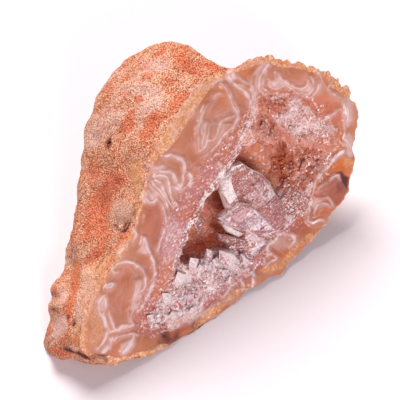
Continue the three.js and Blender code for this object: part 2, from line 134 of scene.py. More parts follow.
# rear shoulder of the rind
SHOULDER_LINE = [
    (12.2, 20.2, -10.4), (15.6, 14.3, -7), (19, 9.5, -6), (23, 2.8, -6), (25, -4, -6.5),
    (23.2, -7, -7), (21.5, -10, -7), (18, -13, -7), (12, -15.4, -8), (5, -15.2, -9),
    (-1.5, -14.4, -9.5), (-8.5, -13.6, -10), (-15.5, -12.6, -10), (-22.5, -11, -10),
    (-30.8, -9.4, -8.4), (-34, -5.4, -8.8), (-30, 0.9, -6.5), (-24.8, 3, -7.3), (-19, 5.8, -10.2),
    (-15, 8.6, -13.2), (-8.4, 14.8, -14.6), (-2.4, 19.8, -14.6), (3.2, 22.2, -14.2),
    (8.8, 22.8, -12.8),
]
# inner edge of the agate
AGATE_LINE = [
    (12.4, 8.6, -0.5), (16.2, 9.4, -0.5), (19.8, 7.2, -0.5), (23.6, 2.2, -0.5), (24.6, -4, -0.6),
    (24, -7.7, -0.6), (21, -10.5, -0.5), (16.8, -11.9, -0.5), (12, -15, -0.5), (5, -14, -0.5),
    (-0.8, -15.2, -0.5), (-7, -14, -0.5), (-13.2, -13.7, -0.5), (-18.5, -12, -0.5),
    (-21.4, -8.6, -0.6), (-21.8, -6.2, -0.6), (-19.9, -4.6, -0.5), (-16.2, -3.2, -0.5),
    (-12.4, -0.4, -0.5), (-9, 3, -0.5), (-5.8, 5.4, -0.5), (-1.8, 6.5, -0.5), (3.6, 7.1, -0.5),
    (8, 7.4, -0.5),
]
# mouth of the pocket that holds the quartz
MOUTH_LINE = [
    (11.4, 7, -0.8), (16, 8.8, -0.8), (19.2, 6.8, -0.8), (23, 2, -0.8), (24, -4, -0.9),
    (23.4, -7.5, -0.9), (20.4, -10.1, -0.8), (16.4, -11.5, -0.8), (11.6, -13.9, -0.8),
    (4.8, -13.4, -0.8), (-0.8, -13.9, -0.8), (-7, -13.3, -0.8), (-13, -12.6, -0.8),
    (-17.9, -11.4, -0.8), (-19.5, -10.2, -0.9), (-19.4, -8.3, -0.9), (-16.4, -6.7, -0.9),
    (-12.6, -4.8, -0.9), (-9.4, -2.2, -0.9), (-6.6, -0.1, -0.9), (-3.8, 1.3, -0.9),
    (-0.9, 2.7, -0.9), (2.9, 3.1, -0.9), (7.4, 4.8, -0.9),
]
# brink of the deep hollow
BRINK_LINE = [
    (10.4, 3, -1.7), (12.6, 1.6, -2.2), (15.4, -0.2, -2.4), (17, -2.6, -2.8), (17, -5.2, -3),
    (16.2, -6.8, -3), (14.8, -8, -3), (12.4, -9, -2.8), (8.4, -9.8, -2.6), (4.2, -10, -2.4),
    (0.2, -9.8, -2.2), (-3.4, -9.2, -2), (-6.2, -8.2, -1.9), (-8.4, -7.2, -2), (-9.6, -6.2, -2),
    (-9.8, -5.2, -1.9), (-9.4, -4.4, -1.6), (-8.8, -3.6, -1.4), (-7.6, -2.6, -1.3),
    (-5.6, -1.1, -1.3), (-2.9, 0.1, -1.3), (-0.6, 1.3, -1.3), (2.8, 1.7, -1.4), (6.6, 2.9, -1.5),
]
# widest wall of the hollow
WELL_LINE = [
    (11.4, 3.4, -6), (13.8, 1.8, -6), (16.2, -0.6, -6), (16.8, -3, -6.2), (15.8, -5, -6.5),
    (14.6, -6.4, -6.8), (12.8, -7.4, -7), (10.2, -8.2, -7.2), (6.8, -8.8, -7.4), (3.4, -9, -7.6),
    (0.4, -9, -7.6), (-2.4, -8.6, -7.4), (-4.8, -7.8, -7), (-6.6, -6.8, -6.6), (-7.8, -5.6, -6.4),
    (-8.4, -4.2, -6.4), (-8.6, -2.8, -6.2), (-8.2, -1.4, -6.2), (-7.6, -0.4, -6), (-5.8, 0.8, -6),
    (-3.2, 1.9, -6), (-0.2, 2.8, -6), (3.4, 3.2, -6), (7.6, 3.4, -6),
]
SECTIONS = np.stack([RIM_LINE, SHOULDER_LINE, AGATE_LINE, MOUTH_LINE, BRINK_LINE, WELL_LINE], 1)
RIM, SHOULDER, AGATE_EDGE, MOUTH, BRINK, WELL = range(6)
REAR_POLE = np.array([-3.0, 2.0, -21.0])
HOLLOW_AXIS = np.array([1.0, -5.0])
HOLLOW_FLOOR = np.array([2.5, -4.4, -9.6])
CRUST_FLOOR = 2.0
CRUST_WALL = 1.5
CRUST_SINK = 0.5
SEAT_GAP = 0.32
SPOKES = 800
FINE_TURNS = 4801  # points along the rim by which the spokes are spaced


def rounded(before, start, end, after, t):
    """A smooth curve from start (t = 0) to end (t = 1), by their neighbours."""
    return 0.5 * (2 * start + (end - before) * t
                  + (2 * before - 5 * start + 4 * end - after) * t ** 2
                  + (3 * start - before - 3 * end + after) * t ** 3)


def section_at(turns):
    """The section at each turn u, which counts the sections round the stone."""
    whole = np.floor(turns).astype(int)
    around = (SECTIONS[(whole + step) % len(SECTIONS)] for step in (-1, 0, 1, 2))
    return rounded(*around, (turns - whole)[:, None, None])


def even_turns(count):
    """Turns that space the spokes evenly along the rim."""
    fine = np.linspace(0, len(SECTIONS), FINE_TURNS)
    rims = section_at(fine)[:, RIM]
    steps = np.linalg.norm(np.diff(rims, axis=0), axis=1)
    length = np.concatenate([[0], np.cumsum(steps)])
    return np.interp(np.arange(count) * length[-1] / count, length, fine)


TURNS = even_turns(SPOKES)

# ---------------------------------------------------------------- noise without chance
MIXERS = 73856093, 19349663, 83492791, 2654435761
SCRAMBLER = 1274126177
CORNERS = list(itertools.product((0, 1), repeat=3))
NEIGHBOURS = list(itertools.product((-1, 0, 1), repeat=3))
NO_FACE = -9.0  # lower than any face
FACE_HEIGHTS = 0.6


def hashed(x, y, z, seed):
    """A fraction of 0 to 1 for each whole-numbered cell."""
    mixed = (x * MIXERS[0]) ^ (y * MIXERS[1]) ^ (z * MIXERS[2]) ^ (seed * MIXERS[3])
    mixed = (mixed ^ (mixed >> 13)) & 0xFFFFFFFF
    mixed = (mixed * SCRAMBLER) & 0xFFFFFFFF
    mixed = (mixed ^ (mixed >> 16)) & 0xFFFFFF
    return mixed / float(0xFFFFFF)


def noise(points, size, seed):
    """Smooth noise of -1 to 1 with cells of that size."""
    scaled = np.asarray(points) / size
    cell = np.floor(scaled).astype(np.int64)
    part = scaled - cell
    ease = part * part * (3 - 2 * part)
    total = np.zeros(len(scaled))
    for corner in CORNERS:
        weight = np.where(corner, ease, 1 - ease).prod(1)
        total += weight * hashed(*(cell + corner).T, seed)
    return 2 * total - 1


def layered(points, layers, shift=0):
    """Noises added up; each layer has its height, the size of its cells and its seed."""
    return sum(height * noise(points, size, seed + shift) for height, size, seed in layers)


def shake(points, layers, strength=1, axes=(1, 1, 1)):
    """Moves points by layers of noise, one axis after another."""
    for axis, share in enumerate(axes):
        points[:, axis] += strength * layered(points, layers, axis) * share


def facets(points, size, seed, tilt=1.2, crown=0.4):
    """Small crystal faces that meet in creases, the highest of planes that lean their own way:
    their height, a number for each face and the height above the next one."""
    scaled = np.asarray(points) / size
    cell = np.floor(scaled).astype(np.int64)
    best, second, pick = (np.full(len(scaled), start) for start in (NO_FACE, NO_FACE, 0.0))
    for step in NEIGHBOURS:
        here = cell + step
        draws = [hashed(*here.T, seed + k) for k in range(8)]
        away = scaled - (here + np.stack(draws[:3], 1))
        lean = np.stack(draws[3:6], 1) - 0.5
        plane = FACE_HEIGHTS * draws[6] + tilt * (away * lean).sum(1)
        plane -= crown * (away * away).sum(1)
        higher = plane > best
        second = np.where(higher, best, np.maximum(second, plane))
        pick = np.where(higher, draws[7], pick)
        best = np.maximum(best, plane)
    return best, pick, best - second


def ease_between(value, low, high):
    t = np.clip((value - low) / (high - low), 0, 1)
    return t * t * (3 - 2 * t)


def ellipse_places(points, x, y, along, across, turn):
    """Places along and across an ellipse that is turned by degrees; 1 is its own reach."""
    c, s = math.cos(math.radians(turn)), math.sin(math.radians(turn))
    right, up = points[:, 0] - x, points[:, 1] - y
    return (right * c + up * s) / along, (up * c - right * s) / across


def in_ellipse(points, ellipse, soft=0.35):
    """1 inside an ellipse, 0 outside, with a soft edge."""
    reach = np.hypot(*ellipse_places(points, *ellipse))
    return 1 - ease_between(reach, 1 - soft, 1 + soft)


# ---------------------------------------------------------------- skins made of rings
def band(first, near_count, second, far_count):
    """Triangles between two rings; one may hold half as many points as the other, or one."""
    few, many = sorted((near_count, far_count))
    j = np.arange(many if few == 1 else few)
    following = (j + 1) % len(j)
    if near_count == 1:
        corners = [(first + 0 * j, second + j, second + following)]
    elif far_count == 1:
        corners = [(first + j, second + 0 * j, first + following)]
    elif few == many:
        corners = [(first + j, second + j, second + following),
                   (first + j, second + following, first + following)]
    elif near_count < far_count:
        even, odd, after = second + 2 * j, second + 2 * j + 1, second + 2 * following
        corners = [(first + j, even, odd), (first + j, odd, first + following),
                   (first + following, odd, after)]
    else:
        even, odd, after = first + 2 * j, first + 2 * j + 1, first + 2 * following
        corners = [(even, second + j, odd), (odd, second + j, second + following),
                   (odd, second + following, after)]
    return np.concatenate([np.stack(three, 1) for three in corners])


def joined(counts):
    """Triangles of a skin whose rings hold so many points each."""
    starts = np.concatenate([[0], np.cumsum(counts)])
    return np.concatenate([band(starts[i], counts[i], starts[i + 1], counts[i + 1])
                           for i in range(len(counts) - 1)])


def spread(rings):
    """The turn, zone and step of each point of a skin, and the triangles of the skin; each
    ring has a zone, steps within it and a number of points."""
    rows = [(zone, step, count) for zone, steps, count in rings for step in steps]
    zones, steps, counts = zip(*rows)
    turns = np.concatenate([TURNS[::SPOKES // count] for count in counts])
    return turns, np.repeat(zones, counts), np.repeat(steps, counts), joined(counts)


def normals_of(points, triangles):
    a, b, c = (points[triangles[:, k]] for k in range(3))
    face = np.cross(b - a, c - a)
    total = np.zeros_like(points)
    for k in range(3):
        for axis in range(3):
            total[:, axis] += np.bincount(triangles[:, k], face[:, axis], len(points))
    return total / np.maximum(np.linalg.norm(total, axis=1), 1e-12)[:, None]


def make_piece(name, points, triangles, materials, picks, attributes, crease):
    """A mesh object from points of the face frame, with attributes at its points and a pick
    of material for each face; crease is the angle of its sharp edges, 0 for flat faces."""
    mesh = bpy.data.meshes.new(name)
    placed = in_part(points) * MM
    placed[:, 2] = np.maximum(placed[:, 2], 0)
    mesh.vertices.add(len(placed))
    mesh.vertices.foreach_set("co", placed.astype(np.float32).ravel())
    mesh.loops.add(3 * len(triangles))
    mesh.loops.foreach_set("vertex_index", triangles.astype(np.int32).ravel())
    mesh.polygons.add(len(triangles))
    mesh.polygons.foreach_set("loop_start", np.arange(0, 3 * len(triangles), 3, np.int32))
    if picks is not None:
        mesh.polygons.foreach_set("material_index", picks.astype(np.int32))
    mesh.polygons.foreach_set("use_smooth", np.full(len(triangles), crease > 0))
    mesh.update(calc_edges=True)
    mesh.validate()
    if crease:
        mesh.set_sharp_from_angle(angle=math.radians(crease))
    place = mesh.attributes.new("place", "FLOAT_VECTOR", "POINT")
    place.data.foreach_set("vector", np.asarray(points, np.float32).ravel())
    for key, values in attributes.items():
        layer = mesh.attributes.new(key, "FLOAT", "POINT")
        layer.data.foreach_set("value", np.asarray(values, np.float32))
    for material in materials:
        mesh.materials.append(material)
    piece = bpy.data.objects.new(name, mesh)
    bpy.context.scene.collection.objects.link(piece)
    return piece


# ---------------------------------------------------------------- marks of colour
# Marks are set out as they show along the camera's axis: steps of VIEW_STEP mm to the right
# of and down from the corner of its view.
VIEW_SIDE = 400
VIEW_STEP = FIELD / VIEW_SIDE
CURVE_PARTS = 4
LINE_WANDER = [(1, 1.3, 140), (0.5, 0.55, 150)]  # height in view steps, size (mm), seed
FINE_SIZE, FINE_SEED = 0.8, 160
FAR_AWAY = 60.0  # view steps
LINE_MARGIN = 14  # view steps round a line where it can show
LINE_ENDS, LINE_SWELL = 0.55, 0.45  # of a line's width, and what its middle has more
SPOT_EDGE, PIT_EDGE, BLISTER_EDGE = 1.4, 2, 4  # powers that firm up an edge


def seen(points):
    """Where points of the face frame show, in view steps."""
    away = in_part(points) - CAMERA_PLACE
    scale = CAMERA_DISTANCE / -(away @ to_camera) / VIEW_STEP
    return np.column_stack([VIEW_SIDE / 2 + (away @ to_right) * scale,
                            VIEW_SIDE / 2 - (away @ to_top) * scale])


def under(x, y, n=0.0):
    """The point at height n of the face frame that shows at a view step."""
    eye = (CAMERA_PLACE - FACE_CENTRE) @ FACE_TURN
    ray = (to_right * (x - VIEW_SIDE / 2) + to_top * (VIEW_SIDE / 2 - y)) * VIEW_STEP
    ray = (ray - CAMERA_DISTANCE * to_camera) @ FACE_TURN
    return eye + ray * (n - eye[2]) / ray[2]


def curved(line, closed=False):
    """More points along a line, rounded through the given ones."""
    line = np.array(line, float)
    count = len(line)
    starts = np.arange(count if closed else count - 1)
    places = [starts + step for step in (-1, 0, 1, 2)]
    places = [at % count if closed else np.clip(at, 0, count - 1) for at in places]
    t = np.linspace(0, 1, CURVE_PARTS, endpoint=False)[:, None]
    made = rounded(*(line[at][:, None] for at in places), t)
    return np.vstack([made.reshape(-1, 2), line[:1] if closed else line[-1:]])


def line_reach(view, line):
    """Distance of each place from a line, and how far along the line it is (0 to 1)."""
    reach, along = np.full(len(view), 1e6), np.zeros(len(view))
    for i, (a, b) in enumerate(zip(line[:-1], line[1:])):
        way = b - a
        t = np.clip(((view - a) @ way) / max(way @ way, 1e-9), 0, 1)
        distance = np.hypot(*(view - a - t[:, None] * way).T)
        closer = distance < reach
        reach[closer] = distance[closer]
        along[closer] = (i + t[closer]) / (len(line) - 1)
    return reach, along


def area_reach(view, outline):
    """Distance out from a closed outline, below 0 inside it."""
    reach, _ = line_reach(view, outline)
    inside = np.zeros(len(view), bool)
    x, y = view.T
    for (ax, ay), (bx, by) in zip(outline[:-1], outline[1:]):
        crosses = (ay > y) != (by > y)
        level = ax + (bx - ax) * (y - ay) / (by - ay if by != ay else 1e-9)
        inside ^= crosses & (x < level)
    return np.where(inside, -reach, reach)


# Lines of each mask: strength, width and points
LINES = {"pale": [
    # great leaf, upper left
    (0.75, 1.7, [(222, 84), (227, 91), (231, 100), (235, 109), (238, 116), (237, 121), (233, 127),
        (228, 132), (222, 138), (217, 146), (210, 152), (204, 157)]),
    (0.4, 1.3, [(225, 84), (230, 92), (234, 101), (238, 110), (240, 116)]),
    (0.7, 1.5, [(237, 113), (232, 116), (226, 119), (221, 121), (218, 127), (217, 134), (214, 140),
        (209, 141)]),
    (0.5, 1.3, [(221, 122), (224, 127), (222, 133), (219, 139)]),
    (0.8, 1.4, [(200, 151), (205, 147), (208, 141)]),
    (0.5, 1.8, [(203, 149), (203, 141), (204, 132), (206, 122)]),
    (0.45, 1.6, [(207, 142), (208, 134), (209, 124)]),
    (0.4, 1.4, [(214, 139), (213, 131), (214, 122)]),
    (0.3, 2.4, [(199, 150), (198, 140), (198, 130), (201, 118), (206, 106)]),
    (0.5, 1.6, [(213, 98), (217, 94), (222, 93)]),
    (0.35, 1.6, [(218, 126), (226, 124), (233, 125)]),
    # white ribbon right of it
    (0.85, 3.4, [(229, 77), (233, 82), (238, 87), (243, 90), (247, 94), (250, 101), (252, 109),
        (254, 117)]),
    (0.6, 5, [(252, 86), (254, 93), (255, 101), (255, 109), (254, 117)]),
    (0.4, 3, [(262, 64), (257, 71), (252, 76), (251, 84)]),
    (0.35, 2, [(268, 62), (262, 66), (258, 74), (256, 84), (257, 93)]),
    (0.4, 1.6, [(236, 76), (243, 80), (250, 84)]),
    (0.35, 1.4, [(240, 84), (246, 87), (251, 90)]),
    (0.5, 2.2, [(223, 78), (217, 81), (212, 84)]),
    # cloud lobes along the top
    (0.8, 2.4, [(269, 64), (264, 69), (260, 77), (259, 86), (262, 93), (267, 97), (274, 98),
        (281, 96), (286, 94)]),
    (0.45, 2, [(266, 70), (263, 78), (263, 86), (266, 91), (271, 94), (277, 93)]),
    (0.65, 1.5, [(270, 80), (270, 85), (273, 89), (278, 89), (283, 87), (288, 87), (293, 89)]),
    (0.6, 1.4, [(278, 73), (280, 79), (285, 83), (289, 86)]),
    (0.55, 2, [(318, 72), (321, 78), (320, 86), (317, 93), (311, 98), (305, 97), (299, 94),
        (293, 90)]),
    (0.6, 1.7, [(311, 77), (313, 84), (312, 91), (307, 95), (301, 93)]),
    (0.6, 1.4, [(308, 80), (306, 86), (301, 88), (297, 88), (291, 86)]),
    # right side
    (0.35, 2, [(322, 80), (325, 86), (330, 91), (336, 95), (341, 99)]),
    (0.55, 1.3, [(334, 81), (330, 85), (327, 89)]),
    (0.9, 1.6, [(346, 104), (348, 112), (347, 122)]),
    (0.9, 1.6, [(346, 139), (350, 147), (351, 153)]),
    (0.4, 2, [(343, 124), (345, 131), (344, 138)]),
    # eye
    (0.8, 3, [(344, 151), (338, 156), (332, 162), (326, 168), (320, 174), (316, 182)]),
    (0.6, 1.8, [(316, 182), (314, 189), (312, 197), (310, 206), (309, 214), (308, 221)]),
    (0.35, 1.6, [(318, 192), (320, 188), (324, 184), (329, 180), (334, 177)]),
    (0.85, 1.5, [(331, 178), (335, 176), (338, 175.5), (340, 179)]),
    (0.7, 1.8, [(312, 204), (315, 200), (321, 199), (327, 197), (331, 200), (333, 205)]),
    (0.6, 1.5, [(314, 214), (316, 208), (320, 204), (326, 203), (330, 205)]),
    (0.85, 1.5, [(309, 222), (313, 224), (317, 222), (321, 220), (325, 222)]),
    # curl on the lower rim
    (0.9, 2.6, [(268, 256), (267, 249), (270, 244), (276, 240), (279, 235), (285, 233), (290, 235),
        (295, 240), (292, 245)]),
    (0.9, 1.7, [(264, 262), (266, 257), (271, 254), (276, 256), (277, 259), (272, 261),
        (267, 264)]),
    # finger lobe and its neighbours, left
    (0.8, 1.3, [(157, 199), (162, 204), (165, 212), (165, 224), (163, 234), (160, 243),
        (157, 250)]),
    (0.3, 1.6, [(168, 206), (170, 220), (168, 235)]),
    (0.9, 2, [(146, 199), (150, 202), (154, 202), (157, 199)]),
    (0.75, 1.6, [(144, 238), (143, 246), (139, 251)]),
    (0.8, 1.8, [(145, 238), (146, 246), (150, 253)]),
    (0.7, 3, [(134, 230), (136, 236), (133, 242)]),
    (0.5, 3, [(119, 253), (123, 250), (127, 244)]),
    # lace fan
    (0.5, 3, [(150, 166), (157, 168), (163, 166)]),
    (0.85, 2.2, [(157, 176), (163, 175), (167, 178), (169, 184), (170, 190), (172, 197),
        (177, 205)]),
    (0.8, 2, [(156, 180), (161, 183), (163, 188), (165, 194), (168, 200), (173, 207)]),
    (0.8, 1.8, [(152, 181), (156, 186), (160, 190), (163, 195), (166, 202), (168, 210)]),
    (0.7, 1.6, [(149, 184), (152, 188), (156, 192), (161, 197), (165, 205)]),
    (0.6, 1.6, [(148, 190), (150, 195), (153, 198)]),
    (0.7, 2.4, [(160, 171), (166, 171), (171, 173), (174, 179), (177, 185)]),
    (0.7, 2, [(173, 172), (176, 178), (178, 184), (180, 187)]),
    (0.9, 3, [(165, 156), (171, 155), (177, 157), (182, 161), (184, 166), (183, 174), (183, 181),
        (181, 187)]),
    (0.8, 2.6, [(173, 187), (180, 189), (187, 187), (190, 183), (191, 178), (190, 174)]),
    (0.4, 1.2, [(198, 168), (199, 174), (198, 181)]),
    # lower left envelope and oval
    (0.75, 2.4, [(150, 253), (153, 261), (155, 268), (155, 275), (153, 284), (150, 291),
        (147, 299), (143, 306), (138, 312)]),
    (0.85, 2, [(112, 268), (117, 264), (123, 262), (130, 262), (137, 266), (142, 271), (145, 278),
        (145, 285), (142, 292)]),
    (0.7, 1.6, [(142, 292), (140, 299), (137, 306), (132, 314), (131, 320), (134, 326)]),
    (0.7, 1.8, [(111, 269), (114, 273), (118, 271)]),
    (0.5, 6, [(139, 281), (138, 290), (135, 300), (132, 309)]),
    (0.9, 1.4, [(106, 289), (109, 285), (113, 284), (110, 288), (106, 289)]),
    # lower left net
    (0.85, 2, [(104, 296), (99, 305), (100, 313), (104, 321), (107, 330), (104, 341), (98, 349)]),
    (0.8, 1.8, [(106, 299), (106, 308), (104, 314), (106, 322), (110, 330)]),
    (0.8, 1.8, [(110, 313), (112, 320), (114, 327), (117, 331)]),
    (0.7, 1.6, [(107, 333), (111, 331), (117, 330)]),
    (0.85, 3.4, [(117, 331), (122, 328), (128, 327), (133, 325)]),
    (0.8, 2.2, [(114, 341), (118, 337), (124, 335), (131, 334), (137, 335)]),
    (0.85, 3, [(134, 336), (131, 343), (127, 349), (123, 353)]),
    (0.6, 1.8, [(111, 352), (110, 345), (113, 338)]),
    (0.8, 4, [(103, 352), (108, 346), (110, 340)]),
    # bottom band
    (0.8, 1.5, [(222, 299), (227, 293), (231, 287), (237, 284), (239, 290)]),
    (0.85, 2.6, [(241, 280), (244, 286), (246, 292), (250, 290), (253, 283), (252, 277)]),
    (0.5, 1.4, [(203, 313), (212, 307), (222, 302), (232, 297)]),
    (0.5, 1.4, [(212, 319), (218, 316), (223, 318)]),
    # crystal mass: glints and bright edges of the crystals, painted highlights
    (1.4, 4, [(187, 268), (190, 270), (193, 273)]),
    (1.2, 2, [(218, 250), (224, 249), (228, 251)]),
    (1, 1.4, [(218, 262), (219, 275), (217, 285), (212, 284), (208, 274)]),
    (1.2, 3, [(244, 270), (250, 271), (254, 275)]),
    (1.2, 2.4, [(200, 292), (203, 298), (202, 304)]),
    (1.2, 2.4, [(190, 318), (194, 314), (198, 312)]),
    (1, 2, [(166, 318), (172, 322), (178, 318)]),
    (1, 1.6, [(286, 112), (285, 121), (289, 128), (294, 127)]),
    (1, 1.4, [(292, 106), (296, 98), (300, 103), (299, 112)]),
    (1, 1.4, [(304, 112), (308, 107), (311, 113), (309, 122)]),
    (1, 1.6, [(276, 116), (281, 118), (284, 121)]),
    (1, 2.4, [(216, 165), (219, 163), (222, 166)]),
    (0.9, 1.6, [(306, 132), (312, 128), (318, 129), (324, 124)]),
    (0.9, 1.4, [(322, 136), (328, 133), (333, 130)]),
    (0.9, 2, [(187, 262), (187, 257), (192, 255), (197, 258), (200, 264), (203, 270)]),
    (0.7, 1.6, [(181, 268), (180, 258), (182, 248)]),
    (0.8, 1.6, [(268, 155), (269, 165), (273, 171), (277, 176)]),
    (0.9, 1.8, [(299, 176), (304, 178), (308, 180)]),
    (0.8, 1.6, [(296, 160), (299, 163), (303, 164)]),
    (0.7, 1.6, [(262, 121), (261, 128), (264, 136), (268, 142), (275, 143)]),
    (0.6, 1.4, [(262, 118), (266, 120), (268, 127), (271, 136)]),
    (0.6, 1.6, [(297, 138), (298, 146), (301, 150)]),
    (0.6, 2, [(320, 122), (327, 118), (334, 114), (340, 109)]),
    # great crystal, its blade and the rhomb: the bright ridge and edges, painted highlights
    (0.9, 3.4, [(251, 177), (256, 182), (259, 188), (262, 196), (263, 202)]),
    (0.7, 1.6, [(232, 164), (240, 161), (250, 167), (258, 172), (266, 178), (272, 187),
        (277, 193)]),
    (0.7, 1.5, [(220, 184), (221, 194), (226, 203), (230, 210)]),
    (0.9, 2, [(229, 213), (235, 208), (240, 203)]),
    (0.9, 1.7, [(224, 220), (232, 227), (240, 232), (250, 232), (266, 235)]),
    (0.7, 1.4, [(250, 204), (258, 212), (268, 220)]),
    (0.5, 2.4, [(228, 214), (236, 219), (245, 222), (252, 228)]),
    # pale ridges of the rind
    (0.3, 3, [(92, 124), (104, 111), (118, 99), (130, 89)]),
    (0.3, 2.6, [(112, 96), (122, 87), (134, 78), (148, 70), (162, 66)]),
    (0.25, 2.2, [(104, 84), (114, 76), (126, 68), (140, 60)]),
    (0.25, 2.4, [(141, 119), (140, 127), (134, 134)]),
    (0.5, 2.2, [(190, 91), (198, 86), (206, 83)]),
    (0.5, 1.6, [(205, 90), (198, 99), (192, 110), (186, 120), (180, 128), (174, 138)]),
], "dark": [
    # great leaf, upper left
    (0.3, 1, [(201, 152), (206, 148), (209, 143), (214, 143), (219, 139)]),
    # eye
    (0.5, 2.2, [(341, 186), (338, 191), (334, 196)]),
    (0.4, 1.3, [(309, 221), (309, 212), (311, 203), (314, 196)]),
    # crystal mass: dark gaps between the crystals, painted shade
    (0.6, 1.4, [(293, 104), (297, 101)]),
    (0.6, 2.6, [(190, 290), (194, 288)]),
    (0.5, 2, [(310, 166), (316, 170)]),
    (0.5, 1.6, [(281, 146), (283, 151)]),
    (0.6, 2.4, [(182, 250), (181, 262)]),
    (0.8, 3, [(186, 309), (190, 306)]),
    # great crystal, its blade and the rhomb: a dark line under the rhomb's lower edge, painted
    # shade
    (0.7, 1.4, [(220, 223), (226, 232), (232, 236)]),
    # cracks and creases of the rind, and a dark band along the foot of the stone: partly dark
    # stain, partly painted shade where the stone meets the floor
    (1.3, 2.8, [(114, 224), (118, 229), (123, 231), (128, 227), (132, 222)]),
    (0.9, 1.3, [(134, 204), (135, 213)]),
    (1.6, 3.4, [(64, 348), (72, 351), (80, 354), (90, 357), (102, 357), (107, 362)]),
    (0.8, 3, [(80, 356), (92, 360), (104, 362), (114, 364)]),
    (0.9, 2.4, [(112, 362), (122, 363), (130, 361), (140, 357)]),
    (0.8, 2.4, [(146, 352), (156, 347), (166, 343), (174, 341)]),
    (0.6, 1.6, [(183, 70), (192, 73), (202, 76)]),
    (0.4, 1.5, [(139, 160), (147, 156), (152, 151)]),
], "deep": [
    (0.5, 3, [(267, 78), (266, 86), (270, 91), (278, 92), (287, 91)]),
    (0.9, 3.4, [(344, 188), (347, 193), (344, 198), (340, 199)]),
], "warm": [
    (0.5, 3, [(354, 106), (355, 120), (353, 134)]),
    (0.5, 5, [(193, 170), (195, 178), (193, 186)]),
    (0.95, 3.4, [(200, 321), (206, 315), (213, 314), (220, 315), (227, 311)]),
    (0.9, 3.6, [(231, 285), (235, 282), (239, 283), (240, 288)]),
    (0.9, 3, [(245, 279), (250, 277), (252, 281), (250, 286)]),
], "gold": [
    (0.6, 6, [(260, 270), (270, 269), (280, 266), (288, 260), (294, 252), (300, 245), (310, 236)]),
    (0.9, 7, [(197, 326), (206, 317), (216, 309), (226, 300), (236, 292), (246, 286)]),
    (0.35, 9, [(218, 76), (209, 84), (201, 93), (193, 103), (186, 113), (180, 123), (174, 133),
        (168, 142), (160, 150)]),
]}
